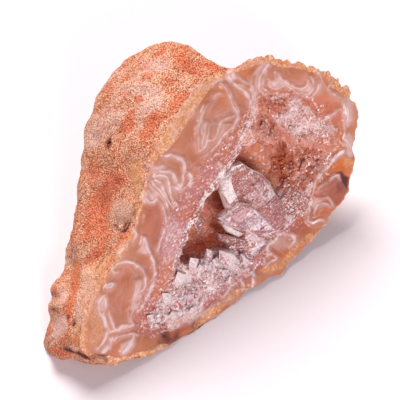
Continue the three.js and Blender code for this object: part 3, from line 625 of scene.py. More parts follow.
# Patches of each mask: strength, softness and outline
AREAS = {"pale": [
    # agate
    (0.08, 4, [(200, 148), (198, 130), (204, 117), (214, 110), (226, 107), (237, 112), (235, 122),
        (226, 132), (218, 143), (209, 151)]),
    (1, 2, [(226, 77), (230, 70), (234, 72), (236, 78), (232, 82), (228, 80)]),
    (0.8, 2.5, [(271, 82), (275, 88), (281, 87), (288, 86), (286, 81), (282, 82), (279, 77),
        (276, 81)]),
    (0.65, 2.5, [(298, 90), (303, 92), (309, 94), (313, 88), (309, 84), (305, 88)]),
    (0.7, 4, [(343, 102), (350, 100), (353, 110), (352, 121), (347, 126), (343, 120), (342, 110)]),
    (0.65, 3, [(345, 136), (350, 135), (353, 143), (353, 153), (349, 157), (345, 150)]),
    (0.75, 1.6, [(312, 202), (322, 200), (320, 205), (315, 209), (313, 207)]),
    (0.4, 4, [(274, 244), (280, 238), (288, 238), (291, 244), (284, 249), (276, 250)]),
    (0.9, 2, [(142, 192), (146, 192), (148, 198), (145, 204), (142, 200)]),
    (0.6, 2, [(150, 194), (156, 192), (158, 198), (153, 201)]),
    (0.6, 1.5, [(144, 240), (146, 240), (149, 252), (141, 252)]),
    (0.25, 6, [(146, 162), (160, 168), (172, 178), (180, 190), (172, 200), (160, 198), (150, 192),
        (145, 178)]),
    (0.7, 2.5, [(98, 305), (102, 297), (107, 298), (106, 308), (101, 311)]),
    (0.75, 2.5, [(120, 345), (128, 341), (133, 345), (128, 353), (122, 354)]),
    # crystal mass
    (1, 3, [(176, 270), (185, 262), (196, 264), (202, 272), (196, 281), (188, 290), (176, 291),
        (174, 281)]),
    (0.8, 4, [(160, 300), (166, 292), (180, 288), (184, 296), (172, 306), (170, 316), (160, 312)]),
    (0.8, 4, [(168, 316), (184, 308), (200, 306), (204, 314), (192, 322), (176, 328), (168, 326)]),
    (0.35, 6, [(195, 268), (215, 262), (240, 262), (252, 270), (238, 280), (222, 292), (206, 300),
        (194, 290)]),
    (0.8, 2, [(216, 254), (222, 249), (230, 250), (224, 262), (219, 262)]),
    (0.7, 3, [(284, 112), (290, 108), (296, 96), (301, 103), (299, 118), (294, 128), (288, 130),
        (285, 122), (276, 119), (277, 114)]),
    (0.45, 4, [(296, 106), (306, 108), (307, 122), (302, 134), (296, 130)]),
    (0.45, 3, [(305, 128), (313, 122), (322, 120), (332, 124), (334, 134), (322, 137),
        (308, 135)]),
    (0.35, 5, [(310, 158), (322, 156), (324, 168), (314, 174)]),
    (0.3, 6, [(280, 190), (296, 188), (308, 200), (304, 212), (290, 208)]),
    (0.35, 8, [(170, 226), (182, 226), (184, 244), (180, 262), (166, 262), (164, 244)]),
    # rind
    (0.5, 3, [(50, 338), (54, 326), (60, 316), (67, 318), (66, 330), (58, 338)]),
    (0.25, 4, [(76, 296), (88, 276), (96, 282), (94, 300), (86, 318), (78, 324), (74, 312)]),
    (0.3, 3, [(58, 292), (64, 284), (68, 290), (66, 302), (60, 304)]),
    (0.3, 4, [(130, 88), (138, 82), (150, 84), (160, 92), (162, 104), (152, 112), (142, 118),
        (136, 112), (144, 98)]),
    (0.28, 3, [(140, 64), (152, 61), (168, 62), (170, 70), (156, 72), (140, 71)]),
    (0.25, 5, [(108, 112), (120, 108), (126, 112), (118, 122), (112, 130), (100, 142), (86, 150),
        (84, 138), (96, 124)]),
    (0.2, 4, [(82, 266), (90, 266), (97, 280), (94, 296), (84, 302), (82, 284)]),
    (0.1, 6, [(112, 204), (117, 198), (128, 199), (133, 207), (132, 220), (124, 226), (115, 222)]),
], "warm": [
    (0.55, 4, [(221, 84), (226, 90), (230, 98), (228, 104), (222, 101), (218, 92)]),
    (0.75, 5, [(242, 66), (250, 62), (257, 62), (255, 70), (248, 76), (242, 74)]),
    (0.8, 2, [(320, 75), (331, 77), (327, 87), (323, 84)]),
    (1, 2, [(340, 160), (349, 161), (351, 168), (346, 173), (338, 171), (331, 173), (324, 178),
        (318, 184), (316, 192), (312, 202), (311, 198), (314, 188), (318, 180), (324, 172),
        (331, 166)]),
    (1.1, 1.5, [(332, 171), (340, 168), (349, 170), (352, 177), (346, 175), (341, 171.5),
        (335, 173)]),
    (0.45, 2.5, [(317, 197), (324, 196), (333, 198), (337, 203), (328, 200), (318, 201)]),
    (0.3, 3, [(318, 209), (326, 206), (332, 208), (329, 216), (320, 219), (314, 219)]),
    (0.5, 3, [(270, 248), (276, 252), (284, 251), (292, 248), (290, 256), (283, 262), (277, 260),
        (272, 254)]),
    (0.4, 3, [(113, 343), (120, 340), (124, 345), (118, 354), (112, 351)]),
    (0.5, 2.5, [(74, 262), (79, 262), (78, 284), (75, 300), (72, 316), (66, 318), (69, 300),
        (73, 284)]),
], "gold": [
    (0.75, 2.5, [(343, 158), (352, 160), (352, 166), (346, 168)]),
    (0.45, 5, [(90, 310), (98, 308), (102, 322), (105, 334), (98, 346), (90, 342), (88, 326)]),
    (0.45, 4, [(70, 334), (78, 326), (88, 326), (90, 342), (80, 347), (68, 344)]),
    (0.5, 5, [(82, 270), (96, 262), (110, 254), (102, 275), (92, 290), (88, 310), (84, 330),
        (84, 346), (66, 342), (76, 328), (80, 300)]),
    (0.55, 3, [(130, 168), (140, 160), (144, 176), (142, 196), (139, 212), (134, 222), (134, 204),
        (132, 186)]),
    (0.4, 3, [(112, 252), (122, 240), (132, 228), (136, 232), (126, 246), (114, 258)]),
], "deep": [
    # agate
    (0.35, 2, [(210, 127), (216, 128), (214, 138), (209, 139)]),
    (0.35, 5, [(242, 104), (250, 106), (251, 118), (247, 125), (241, 116)]),
    (0.75, 5, [(322, 187), (331, 180), (338, 182), (342, 190), (339, 200), (331, 203), (326, 198),
        (318, 197)]),
    (1, 3, [(338, 186), (348, 188), (349, 198), (342, 205), (334, 204)]),
    (0.45, 4, [(147, 206), (154, 203), (160, 203), (164, 212), (164, 224), (161, 238), (157, 249),
        (151, 252), (146, 245), (143, 232), (142, 216)]),
    (0.15, 5, [(112, 274), (120, 268), (132, 270), (138, 284), (133, 300), (128, 318), (118, 324),
        (110, 306)]),
    # crystal mass
    (0.6, 5, [(258, 100), (272, 94), (300, 92), (322, 98), (338, 112), (338, 130), (332, 150),
        (320, 186), (300, 204), (284, 196), (270, 170), (254, 140)]),
    (0.6, 2.5, [(178, 322), (186, 320), (190, 328), (184, 334), (178, 330)]),
    (0.4, 8, [(262, 206), (286, 214), (306, 206), (308, 224), (290, 236), (268, 230)]),
    (0.35, 6, [(228, 118), (244, 128), (250, 140), (240, 152), (224, 156), (214, 162), (218, 150),
        (230, 136)]),
    (0.3, 6, [(140, 312), (156, 296), (160, 306), (150, 330), (136, 332)]),
    (0.65, 2, [(230, 172), (240, 169), (251, 172), (255, 182), (246, 188), (238, 195), (234, 190),
        (231, 180)]),
    (0.3, 2, [(256, 204), (264, 198), (270, 206), (276, 218), (268, 218)]),
    (0.3, 3, [(246, 188), (254, 190), (260, 200), (254, 205), (246, 199), (241, 194)]),
    (0.45, 3, [(276, 212), (288, 216), (284, 228), (272, 227), (266, 218)]),
], "dark": [
    (1.25, 2, [(335, 172.5), (341, 172), (346, 175.5), (351, 179), (351, 188), (346, 188),
        (342, 183), (340, 176.5)]),
    (0.6, 3.5, [(336, 179), (343, 180), (350, 187), (345, 193), (337, 190)]),
    (0.3, 5, [(322, 182), (336, 176), (344, 190), (346, 200), (336, 204), (322, 200)]),
    (0.85, 3, [(164, 328), (171, 336), (178, 330), (180, 338), (174, 346), (164, 346),
        (158, 343)]),
    (0.6, 2, [(193, 322), (199, 323), (198, 329), (192, 328)]),
    # a dark patch at the foot of the stone: partly dark stain, partly painted shade where it meets
    # the floor
    (0.95, 1.8, [(94, 356), (99, 354), (105, 354), (104, 358), (97, 359)]),
], "violet": [
    (0.8, 3, [(183, 297), (188, 290), (194, 286), (196, 291), (190, 298), (186, 301)]),
    (0.6, 6, [(254, 212), (266, 217), (272, 230), (262, 235), (252, 230)]),
    (0.3, 8, [(205, 256), (240, 250), (258, 262), (252, 276), (226, 296), (206, 308), (176, 318),
        (160, 306), (186, 282)]),
    (0.3, 6, [(166, 224), (184, 224), (184, 250), (178, 266), (164, 258)]),
    (0.25, 6, [(258, 176), (270, 184), (286, 208), (294, 228), (274, 234), (262, 208)]),
    (0.3, 4, [(222, 220), (236, 206), (250, 206), (262, 216), (268, 230), (240, 230)]),
    (0.3, 5, [(250, 234), (266, 236), (266, 256), (256, 262), (250, 250)]),
], "amber": [
    (0.8, 4, [(258, 100), (272, 94), (288, 92), (282, 106), (272, 118), (284, 130), (300, 138),
        (318, 140), (334, 138), (332, 150), (318, 176), (300, 190), (284, 186), (270, 166),
        (254, 140)]),
    (0.8, 4, [(302, 92), (322, 98), (338, 112), (338, 121), (322, 118), (306, 106)]),
    (0.85, 5, [(262, 98), (284, 98), (286, 108), (280, 116), (268, 118), (259, 112)]),
    (0.55, 6, [(274, 122), (284, 126), (290, 136), (286, 152), (296, 168), (300, 184), (284, 184),
        (270, 170), (262, 150), (256, 140)]),
    (0.5, 8, [(296, 140), (318, 140), (330, 150), (322, 170), (308, 186), (300, 170)]),
    (0.4, 6, [(258, 114), (284, 122), (292, 136), (272, 144), (250, 146), (244, 138)]),
    (0.5, 6, [(300, 90), (330, 96), (344, 120), (340, 152), (330, 142), (336, 124), (318, 118),
        (306, 108)]),
    (0.5, 4, [(161, 262), (172, 266), (172, 282), (162, 294), (154, 304), (156, 284)]),
], "sandy": [
    (1, 1.5, [(226, 68), (240, 62), (262, 52), (292, 58), (320, 67), (348, 86), (354, 100),
        (345, 97), (330, 85), (318, 75), (302, 69), (282, 68), (268, 63), (252, 66), (238, 72)]),
    (1, 1.5, [(206, 76), (224, 74), (214, 86), (205, 97), (197, 108), (190, 120), (183, 131),
        (175, 143), (166, 152), (150, 158), (158, 142), (168, 126), (176, 112), (186, 97),
        (196, 84)]),
    (0.9, 1.5, [(150, 158), (158, 158), (150, 170), (146, 190), (142, 206), (136, 222), (130, 240),
        (118, 258), (104, 272), (96, 290), (88, 305), (84, 330), (86, 352), (76, 352), (76, 320),
        (84, 290), (98, 266), (120, 240), (132, 212), (140, 180)]),
    (0.9, 1.5, [(86, 352), (104, 356), (126, 356), (146, 350), (160, 344), (176, 345), (160, 356),
        (130, 364), (100, 364), (84, 360)]),
]}
# Ochre spots of the rind: middle, reach along and across, turn, strength
SPOTS = [
    (157, 54, 8, 3, -20, 0.9), (163, 50, 4, 2.5, -30, 0.6), (122, 68.5, 4.5, 2.6, -40, 1),
    (146, 66, 8, 4, -25, 0.7), (126, 78, 6, 3.5, -15, 0.7), (110, 88, 10, 5, -60, 0.5),
    (123, 94, 8, 3, -35, 0.5), (138, 99, 6, 5, -50, 0.8), (148, 76, 10, 4, -30, 0.5),
    (131, 114, 7, 4, -35, 0.8), (127, 125, 9, 6, -50, 1), (152, 122, 13, 7.5, -58, 1),
    (145, 136, 6, 6, 0, 0.6), (188, 66, 13, 6, 22, 0.9), (180, 56, 9, 5, 35, 0.6),
    (197, 73, 8, 2.5, 15, 1), (211, 66, 12, 4, 14, 1), (187, 50, 4, 5, 0, 0.6),
    (172, 80, 14, 6, -5, 0.45), (182, 97, 9, 4.5, -12, 1), (175, 104, 6, 4, -20, 0.8),
    (168, 114, 10, 4, -45, 0.6), (200, 84, 10, 3, -15, 0.3), (120, 180, 7, 7, 0, 1.4),
    (108, 186, 9, 14, 20, 0.8), (95, 215, 12, 22, 10, 0.9), (104, 204, 6, 14, 10, 0.6),
    (106, 234, 9, 14, 20, 0.55), (94, 256, 13, 4.5, -42, 1.4), (125, 234, 9, 5, -30, 0.5),
    (116, 246, 12, 3, -32, 0.5), (124, 236, 8, 4, -35, 0.6), (94, 172, 8, 11, 10, 0.6),
    (83, 240, 6, 9, 0, 0.4), (70, 306, 4, 14, 10, 1.1), (68, 318, 2.5, 6, 0, 1.2),
    (56, 290, 6, 5, 0, 0.5), (72, 341, 14, 5, 5, 0.7), (60, 352, 14, 4, 10, 0.9),
    (85, 330, 8, 8, 0, 0.45), (48, 330, 4, 9, 0, 0.6), (100, 291, 11, 4, -42, 0.7),
    (96, 354, 18, 4, 5, 0.8), (122, 360, 14, 3, -4, 1.2), (148, 351, 14, 5, -22, 1),
    (76, 280, 4, 18, 5, 1), (104, 272, 10, 3, -40, 0.4), (265, 60, 8, 3, 5, 0.6),
    (300, 66, 16, 3, 8, 0.6), (338, 86, 10, 4, 40, 0.6), (350, 96, 5, 4, 60, 0.8),
    (110, 145, 1.6, 3, 10, 0.8),
]
# Dark pits, in the same terms: painted shade in small holes of the rind and in gaps between the
# crystals, and the dark core of the eye
PITS = [
    (109, 144, 2.2, 3.6, 10, 1.3), (109, 128, 1, 3, 20, 0.8), (54, 309, 1.6, 1.2, 0, 1),
    (68, 318, 1.5, 3, 0, 0.9), (98, 256, 3, 1, -30, 0.5), (318, 111, 1, 1.8, 0, 1),
    (327, 107, 0.8, 0.8, 0, 0.7), (224, 69, 1.2, 0.8, 0, 0.9), (347, 183, 1.4, 1.4, 0, 1),
    (227, 313, 1.4, 1.4, 0, 0.7), (283, 148, 1.2, 2.6, 0, 0.6), (313, 169, 2, 1.6, 0, 0.8),
    (271, 156, 0.8, 1.6, 0, 0.8),
]


def spot_mask(view, spot, firmness):
    u, v = ellipse_places(view, *spot[:5])
    return spot[5] * np.exp(-(u * u + v * v) ** firmness)


def painted(points):
    """The masks of colour at points, with the strength of the nearest pale line and the
    distance (mm) from its edge, and the places where the points show."""
    view = seen(points)
    view += np.column_stack([layered(points, LINE_WANDER, axis) for axis in (0, 1)])
    fine = noise(points, FINE_SIZE, FINE_SEED)
    masks = {key: np.zeros(len(points)) for key in AREAS}
    nearest, strongest = np.full(len(points), FAR_AWAY), np.zeros(len(points))
    for mask, rows in LINES.items():
        for strength, width, line in rows:
            line = curved(line)
            near = ((view > line.min(0) - LINE_MARGIN) & (view < line.max(0) + LINE_MARGIN)).all(1)
            reach, along = line_reach(view[near], line)
            swell = np.sqrt(np.sin(math.pi * np.clip(along, 0.03, 0.97)))
            taper = LINE_ENDS + LINE_SWELL * swell
            half = 0.5 * width * taper * (1 + 0.35 * fine[near])
            power = strength * (0.85 + 0.7 * fine[near])
            if mask == "pale":
                closer = reach - half < nearest[near]
                nearest[near] = np.where(closer, reach - half, nearest[near])
                strongest[near] = np.where(closer, power, strongest[near])
            else:
                value = power * (1 - ease_between(reach, half - 0.5, half + 0.9))
                masks[mask][near] = np.maximum(masks[mask][near], value)
    for mask, rows in AREAS.items():
        for strength, soft, outline in rows:
            outline = curved(outline, closed=True)
            near = ((view > outline.min(0) - soft) & (view < outline.max(0) + soft)).all(1)
            reach = area_reach(view[near], outline)
            power = strength * (0.85 + 0.35 * fine[near])
            value = power * (1 - ease_between(reach, -soft, soft))
            masks[mask][near] = np.maximum(masks[mask][near], value)
    # pits darken the dark mask: painted shade in holes and gaps
    for pit in PITS:
        masks["dark"] = np.maximum(masks["dark"], spot_mask(view, pit, PIT_EDGE))
    masks = {key: np.clip(mask, 0, 1) for key, mask in masks.items()}
    return masks | {"line": strongest, "edge": nearest * VIEW_STEP}, view


# ---------------------------------------------------------------- outline and rind
# Small pushes of the outline: middle, reach, and push to the right and down (view steps)
PUSHES = [
    (60, 266, 17, 8, 0), (55, 277, 8, 4, 0), (51, 292, 12, 4, 0), (47, 320, 16, 6, 0),
    (72, 236, 10, -2, 0), (48, 352, 10, -3.5, 1), (178, 44, 22, 0, -5), (195, 52, 12, 0, -3),
    (228, 64, 12, 0, 6), (130, 56, 16, 1.5, 1.5), (144, 47, 10, 1.5, 2), (84, 130, 20, -2.5, 0),
    (78, 171, 16, 2.5, 0), (298, 60, 18, 0, 3), (284, 58, 8, 0, 2), (356, 124, 12, 2.5, 0),
    (346, 90, 12, -1.5, -1), (354, 160, 8, 2, 0), (354, 147, 8, -3, 0), (313, 65, 8, 0, 3),
    (344, 195, 8, 2, 1), (350, 180, 7, -2, 0), (330, 216, 13, -1, -0.5), (316, 238, 12, -1, -1),
    (258, 281, 9, 2, 2.5), (277, 270, 11, 5, 5), (74, 364, 14, 0, -5), (60, 277, 5, 2.5, 0),
    (51, 289, 5, -3.5, 0), (52, 298, 4, 3, 0), (50, 312, 3.5, 2.5, 0), (47, 329, 5, -1, 0),
    (299, 62, 7, 0, -2), (338, 79, 6, 1.5, -1.5), (118, 66, 8, 1.5, 1.5), (354, 101, 6, -2, 0),
]
# Hollows and swellings of the rind: turn u, depth s, reach along the rim and down the side,
# height (mm)
MARKS = [
    (19.7, 0.34, 2.6, 2.4, -0.9), (19.15, 0.58, 3.2, 3.6, -0.6), (17.6, 0.42, 2.6, 1.3, -0.7),
    (21, 0.38, 1.7, 2.2, -0.5), (21.2, 0.2, 2, 1.8, -0.4), (22.35, 0.24, 1.6, 1.8, -0.5),
    (22.95, 0.62, 3.2, 1.6, -0.45), (23.2, 0.24, 3.2, 1.2, -0.7), (16.3, 0.4, 2.2, 0.9, -0.6),
    (18.4, 1.05, 4, 4, 0.3), (16.2, 1, 2, 1.4, 0.3), (15.4, 0.2, 2, 1, 0.5),
    (3.3, 0.25, 1.4, 1.2, 0.5), (4.1, 0.2, 1.2, 1.2, 0.6), (4.8, 0.25, 1.2, 1.2, 0.5),
    (9.6, 1.5, 4, 4, -0.6),
]
# Rounded knobs (+) and pits (-) with a firmer edge, in the same terms
KNOBS = [
    (19.1, 0.2, 2.1, 2, 0.65), (16.4, 0.95, 1.2, 0.9, 0.45), (15.3, 0.75, 1.2, 1.2, 0.5),
    (3.6, 0.2, 1.2, 1.4, 0.6), (4.4, 0.18, 1, 1.3, 0.5), (20.3, 0.66, 0.7, 0.6, -0.8),
    (18.7, 0.16, 0.8, 0.35, -0.7), (15.85, 0.34, 0.6, 0.6, -0.7), (20.7, 0.64, 0.4, 0.6, -0.45),
    (17.55, 0.4, 1.7, 0.4, -0.5),
]
# Patches of red-orange ochre, in the same terms, with a strength for the height
OCHRE = [
    (21, 0.4, 1.3, 1.9, 1), (21.2, 0.17, 1.6, 1.6, 0.9), (21.6, 0.42, 0.9, 1, 0.7),
    (21.9, 0.05, 1.9, 1.3, 0.8), (22.95, 0.62, 2.2, 1.2, 0.9), (22.15, 0.88, 1.4, 1.1, 0.9),
    (23.1, 0.2, 2.6, 1.1, 1), (22.35, 0.25, 1.7, 2, 0.5), (21.9, 0.7, 1.6, 0.8, 0.7),
    (19.7, 0.34, 2.4, 2.4, 1.3), (19.15, 0.58, 3.4, 4.2, 0.9), (21.3, 0.86, 1.4, 1, 0.7),
    (17.6, 0.42, 2.8, 1.3, 1), (18.4, 0.75, 3, 3, 0.45), (16.3, 0.4, 2.6, 1.2, 0.5),
    (20.2, 1, 4, 3, 0.35), (0.6, 0.12, 4, 1, 0.6), (14.6, 0.5, 3, 2, 0.5), (4, 0.9, 5, 3, 0.6),
    (8, 0.9, 6, 4, 0.6), (12, 0.7, 5, 4, 0.7), (1.5, 1.2, 6, 5, 0.5), (22, 1.4, 7, 6, 0.5),
    (18, 1.5, 6, 6, 0.5),
]
FOLDS = (21.8, 0.75, 4.2, 4.5)  # turn, depth, reach along the rim and down the side
FOLD_HEIGHT = 0.09
FOLD_WANDER, FOLD_SEED = 2.5, 8
LUMP_HEIGHT = 0.7
RIND_SWELLS = [(0.14, 4.2, 1), (0.14, 1.9, 2)]
RIND_SAND = [(0.1, 0.85, 3), (0.09, 0.42, 4)]
RIND_RISE = 0.1  # depth over which the relief of the rind comes up
BLISTER = (122.5, 211.5, 11, 13, 0, 1)  # a smooth blister, set out as the ochre spots are


def pushed_outline(points):
    """Points moved across the view by the small pushes."""
    view = seen(points)
    sideways, down = to_right @ FACE_TURN, -to_top @ FACE_TURN
    moved = points.copy()
    for x, y, reach, right, low in PUSHES:
        share = np.exp(-((view - (x, y)) ** 2).sum(1) / reach ** 2)[:, None]
        moved += share * VIEW_STEP * (right * sideways + low * down)
    return moved


def rind_points(sections, s):
    """s runs from the rim (0) over the shoulder (1) to the rear pole (2)."""
    rim, shoulder = sections[:, RIM], sections[:, SHOULDER]
    s = s[:, None]
    near = rim + (shoulder - rim) * s * (2 - s)
    near[:, 2:] = rim[:, 2:] + (shoulder[:, 2:] - rim[:, 2:]) * s
    angle = (s - 1) * math.pi / 2
    far = REAR_POLE + (shoulder - REAR_POLE) * np.cos(angle)
    far[:, 2:] = shoulder[:, 2:] + (REAR_POLE[2] - shoulder[:, 2:]) * np.sin(angle)
    return np.where(s <= 1, near, far)


def rind_point(u, s):
    return rind_points(section_at(np.array([u])), np.array([s]))[0]


def reach_from(mark, turns, s):
    """Squared distance from a mark, where 1 is its reach."""
    u, depth, along, down = mark[:4]
    u_step, s_step, half = 0.1, 0.05, len(SECTIONS) / 2
    here = rind_point(u, depth)
    per_turn = np.linalg.norm(rind_point(u + u_step, depth) - here) / u_step
    per_step = np.linalg.norm(rind_point(u, depth + s_step) - here) / s_step
    off = (turns - u + half) % len(SECTIONS) - half
    return (off * per_turn / along) ** 2 + ((s - depth) * per_step / down) ** 2


def lumps(points):
    """Slow waves of about 7 to 10 mm, crossed at odd angles."""
    p, q, n = points.T
    first = np.sin(0.74 * p + 0.38 * q + 0.9) * np.sin(0.62 * q - 0.55 * n)
    second = np.sin(0.95 * n + 0.41 * p + 2.1) * np.sin(0.88 * q + 0.2 * p)
    return 0.3 * (first + 0.7 * second)


def rind_lift(points, turns, s):
    """Height of the rind's relief: large forms, then knobs and pits, folds and sand."""
    lift = LUMP_HEIGHT * lumps(points) * np.minimum(1, 3 * s)
    for mark in MARKS:
        lift += mark[4] * np.exp(-reach_from(mark, turns, s))
    for knob in KNOBS:
        lift += knob[4] * np.sqrt(np.maximum(0, 1 - reach_from(knob, turns, s)))
    folds = np.exp(-reach_from(FOLDS, turns, s))
    wander = 2 * noise(points, FOLD_WANDER, FOLD_SEED)
    lift += FOLD_HEIGHT * folds * np.sin(5.2 * points[:, 2] + 1.6 * points[:, 0] + wander)
    lift += layered(points, RIND_SWELLS)
    lift += layered(points, RIND_SAND)
    return lift * ease_between(s, 0, RIND_RISE)


# ---------------------------------------------------------------- the stone
RIND, FACE, POCKET = range(3)
POCKET_FLOOR = HOLLOW_FLOOR - [0, 0, CRUST_FLOOR]
LOOK_BACK = to_camera @ FACE_TURN  # towards the camera, in the face frame
# zone, steps within it and points round, from the rear pole over the rim into the pocket
STONE_RINGS = [
    (RIND, [2], 1), (RIND, [1.985, 1.965], 25), (RIND, [1.94, 1.92, 1.9, 1.88], 50),
    (RIND, np.linspace(1.86, 1.76, 6), 100), (RIND, np.linspace(1.74, 1.56, 12), 200),
    (RIND, np.linspace(1.545, 1, 42), 400), (RIND, np.linspace(0.985, 0.06, 58), 400),
    (RIND, [0.045, 0.03, 0.015, 0], 800), (FACE, np.linspace(0, 1, 53)[1:], 800),
    (FACE, np.linspace(1, 2, 9)[1:], 800), (POCKET, [0.12], 400),
    (POCKET, [0.3, 0.55, 0.8, 1], 200), (POCKET, [1.25, 1.5], 100), (POCKET, [1.75], 50),
    (POCKET, [2], 1),
]
FACE_CROWN, FACE_RIPPLE = 0.5, 0.22
FACE_RELIEF = [(0.16, 3.1, 5), (0.07, 1.3, 6)]
POCKET_SAG = 0.9
POCKET_DEPTH = 2.5  # its place on the scale of depths that runs over the face and the quartz
RIM_ON_RIND, RIM_ON_FACE = 0.14, 0.12  # reach of the chipped rim on either side of it
RIM_CHIPS = [(0.34, 1.5, 40), (0.2, 0.6, 50)]
CRUMB_HEIGHT = 0.7
CRUMBS = [(1, 1.7, 31), (0.5, 0.8, 41)]  # share, size and seed
CRUMB_TILT, CRUMB_CROWN = 0.4, 1.3
CRUMBLY_FROM, CRUMBLY_TO = 225, 250  # the rim crumbles most to the right of here, view steps
SMOOTH_RIM = 0.35
STONE_CREASE = 52


def pushed(points, out, down):
    """Points moved away from the hollow's axis and down."""
    away = points[:, :2] - HOLLOW_AXIS
    away /= np.linalg.norm(away, axis=1)[:, None]
    return points + np.column_stack([away * out, np.full(len(points), -down)])


def face_points(sections, t):
    """t runs from the rim (0) to the agate's inner edge (1) and the pocket's mouth (2)."""
    rim, edge, mouth = (sections[:, k] for k in (RIM, AGATE_EDGE, MOUTH))
    t = t[:, None]
    points = np.where(t <= 1, rim + (edge - rim) * t, edge + (mouth - edge) * (t - 1))
    t = np.minimum(t[:, 0], 1)
    p, q = points[:, 0], points[:, 1]
    ripple = FACE_RIPPLE * np.sin(0.9 * p + 0.3 * q) * np.sin(0.8 * q - 0.4 * p + 1)
    fade = np.minimum(1, 6 * t * (1 - t))
    points[:, 2] += FACE_CROWN * np.sin(math.pi * t) + ripple * fade
    points[:, 2] += fade * layered(points, FACE_RELIEF)
    return points


def bowl_points(top, widest, floor, sag, t):
    """t runs from the top of a bowl (0) down its wall (1) and over its floor (2)."""
    t = t[:, None]
    wall = top + (widest - top) * t
    bottom = widest + (floor - widest) * (t - 1)
    bottom[:, 2] -= sag * np.sin(math.pi * np.clip(t[:, 0] - 1, 0, 1))
    return np.where(t <= 1, wall, bottom)


def pocket_points(sections, t):
    """The bowl in the stone that the quartz sits in."""
    widest = pushed(sections[:, WELL], CRUST_WALL, CRUST_SINK)
    return bowl_points(sections[:, MOUTH], widest, POCKET_FLOOR, POCKET_SAG, t)


def hollow_points(sections, t):
    """The deep hollow in the quartz."""
    return bowl_points(sections[:, BRINK], sections[:, WELL], HOLLOW_FLOOR, HOLLOW_SAG, t)


def break_rim(points, near_rim):
    """Crumbs stand out from the rim, and small breaks shake it."""
    outward = points[:, :2] / np.linalg.norm(points[:, :2], axis=1)[:, None]
    crumbs = sum(share * facets(points, size, seed, CRUMB_TILT, CRUMB_CROWN)[0]
                 for share, size, seed in CRUMBS)
    crumbly = ease_between(seen(points)[:, 0], CRUMBLY_FROM, CRUMBLY_TO)
    crumbly = SMOOTH_RIM + (1 - SMOOTH_RIM) * crumbly
    points[:, :2] += outward * (near_rim * crumbly * CRUMB_HEIGHT * crumbs)[:, None]
    shake(points, RIM_CHIPS, near_rim, axes=(1, 1, 0.6))


def in_view(view, normals):
    """1 where the rind faces the camera and isn't behind the broken face, 0 elsewhere."""
    rim_outline = seen(pushed_outline(section_at(TURNS[::8])[:, RIM]))
    clear = ease_between(area_reach(view, rim_outline), -2, 0.5)
    return ease_between(normals @ LOOK_BACK, -0.05, 0.12) * clear


def stone_piece(materials):
    turns, zones, steps, triangles = spread(STONE_RINGS)
    sections = section_at(turns)
    rind, face = zones == RIND, zones == FACE
    points = np.where(rind[:, None], rind_points(sections, steps),
                      np.where(face[:, None], face_points(sections, steps),
                               pocket_points(sections, steps)))
    points[0] = REAR_POLE
    points[-1] = POCKET_FLOOR
    normals = normals_of(points, triangles)
    s = np.where(rind, steps, 0)
    points += normals * np.where(rind, rind_lift(points, turns, s), 0)[:, None]
    near_rim = np.where(rind, 1 - ease_between(steps, 0, RIM_ON_RIND),
                        np.where(face, 1 - ease_between(steps, 0, RIM_ON_FACE), 0))
    break_rim(points, near_rim)
    points = pushed_outline(points)

    masks, view = painted(points)
    shown = np.where(rind, in_view(view, normals), 1)
    ochre = sum(mark[4] * np.exp(-reach_from(mark, turns, s) ** SPOT_EDGE) for mark in OCHRE)
    spots = sum(spot_mask(view, spot, SPOT_EDGE) for spot in SPOTS)
    ochre = ochre * (1 - shown) + spots * shown
    blister = ease_between(spot_mask(view, BLISTER, BLISTER_EDGE), 0.3, 0.7)
    attributes = {key: mask if key == "edge" else mask * shown for key, mask in masks.items()}
    attributes |= {"ochre": ochre * rind, "blister": blister * rind,
                   "depth": np.where(rind, -steps, np.where(face, steps, POCKET_DEPTH))}
    picks = (zones[triangles].max(1) != RIND).astype(int)
    return make_piece("geode_stone", points, triangles, materials, picks, attributes, STONE_CREASE)


# ---------------------------------------------------------------- the quartz crust
SLOPE, WALL, BACK = 3, 4, 5
# zone, steps within it and points round, from behind the crust over its brink to its floor
CRUST_RINGS = [
    (BACK, [2], 1), (BACK, [1.75], 50), (BACK, [1.5, 1.25], 100),
    (BACK, [1, 0.8, 0.55, 0.3], 200), (BACK, [0.12], 400), (SLOPE, [0], 800),
    (SLOPE, np.linspace(0, 1, 61)[1:], 800), (WALL, np.linspace(0, 1, 29)[1:], 800),
    (WALL, np.linspace(1, 1.5, 14)[1:], 400), (WALL, np.linspace(1.5, 1.8, 8)[1:], 200),
    (WALL, [1.85, 1.9], 100), (WALL, [1.95], 50), (WALL, [2], 1),
]
HOLLOW_SAG = 0.6
BROKEN_BAND = (-12.1, -1, 13.5, 4.2, 58)  # quartz broken level with the face
DRUSE_LOW = (-9, -11, 12, 4.2, -12)  # loose crystals along the lower side
RAGGED_BRINK = [(0.55, 1.7, 60), (0.3, 0.7, 70)]
COARSE, MIDDLE, FINE = (2.4, 81), (1.1, 91), (0.5, 101)  # size and seed of crystal faces
COARSE_HEIGHT, MIDDLE_HEIGHT, FINE_HEIGHT = 1.1, 0.5, 0.22
BED_DROP = 0.6
LEVEL_CALM, LEVEL_HEIGHT = 0.85, 0.12  # where it is broken level with the face
DRUSE_HEIGHT = 0.35
BED_SWELLS = [(0.25, 3.5, 9), (0.125, 1.75, 26)]
SUNK_FROM, SUNK_TO = 3.4, 5  # depth over which the relief calms down, mm
BED_CREASE = 28


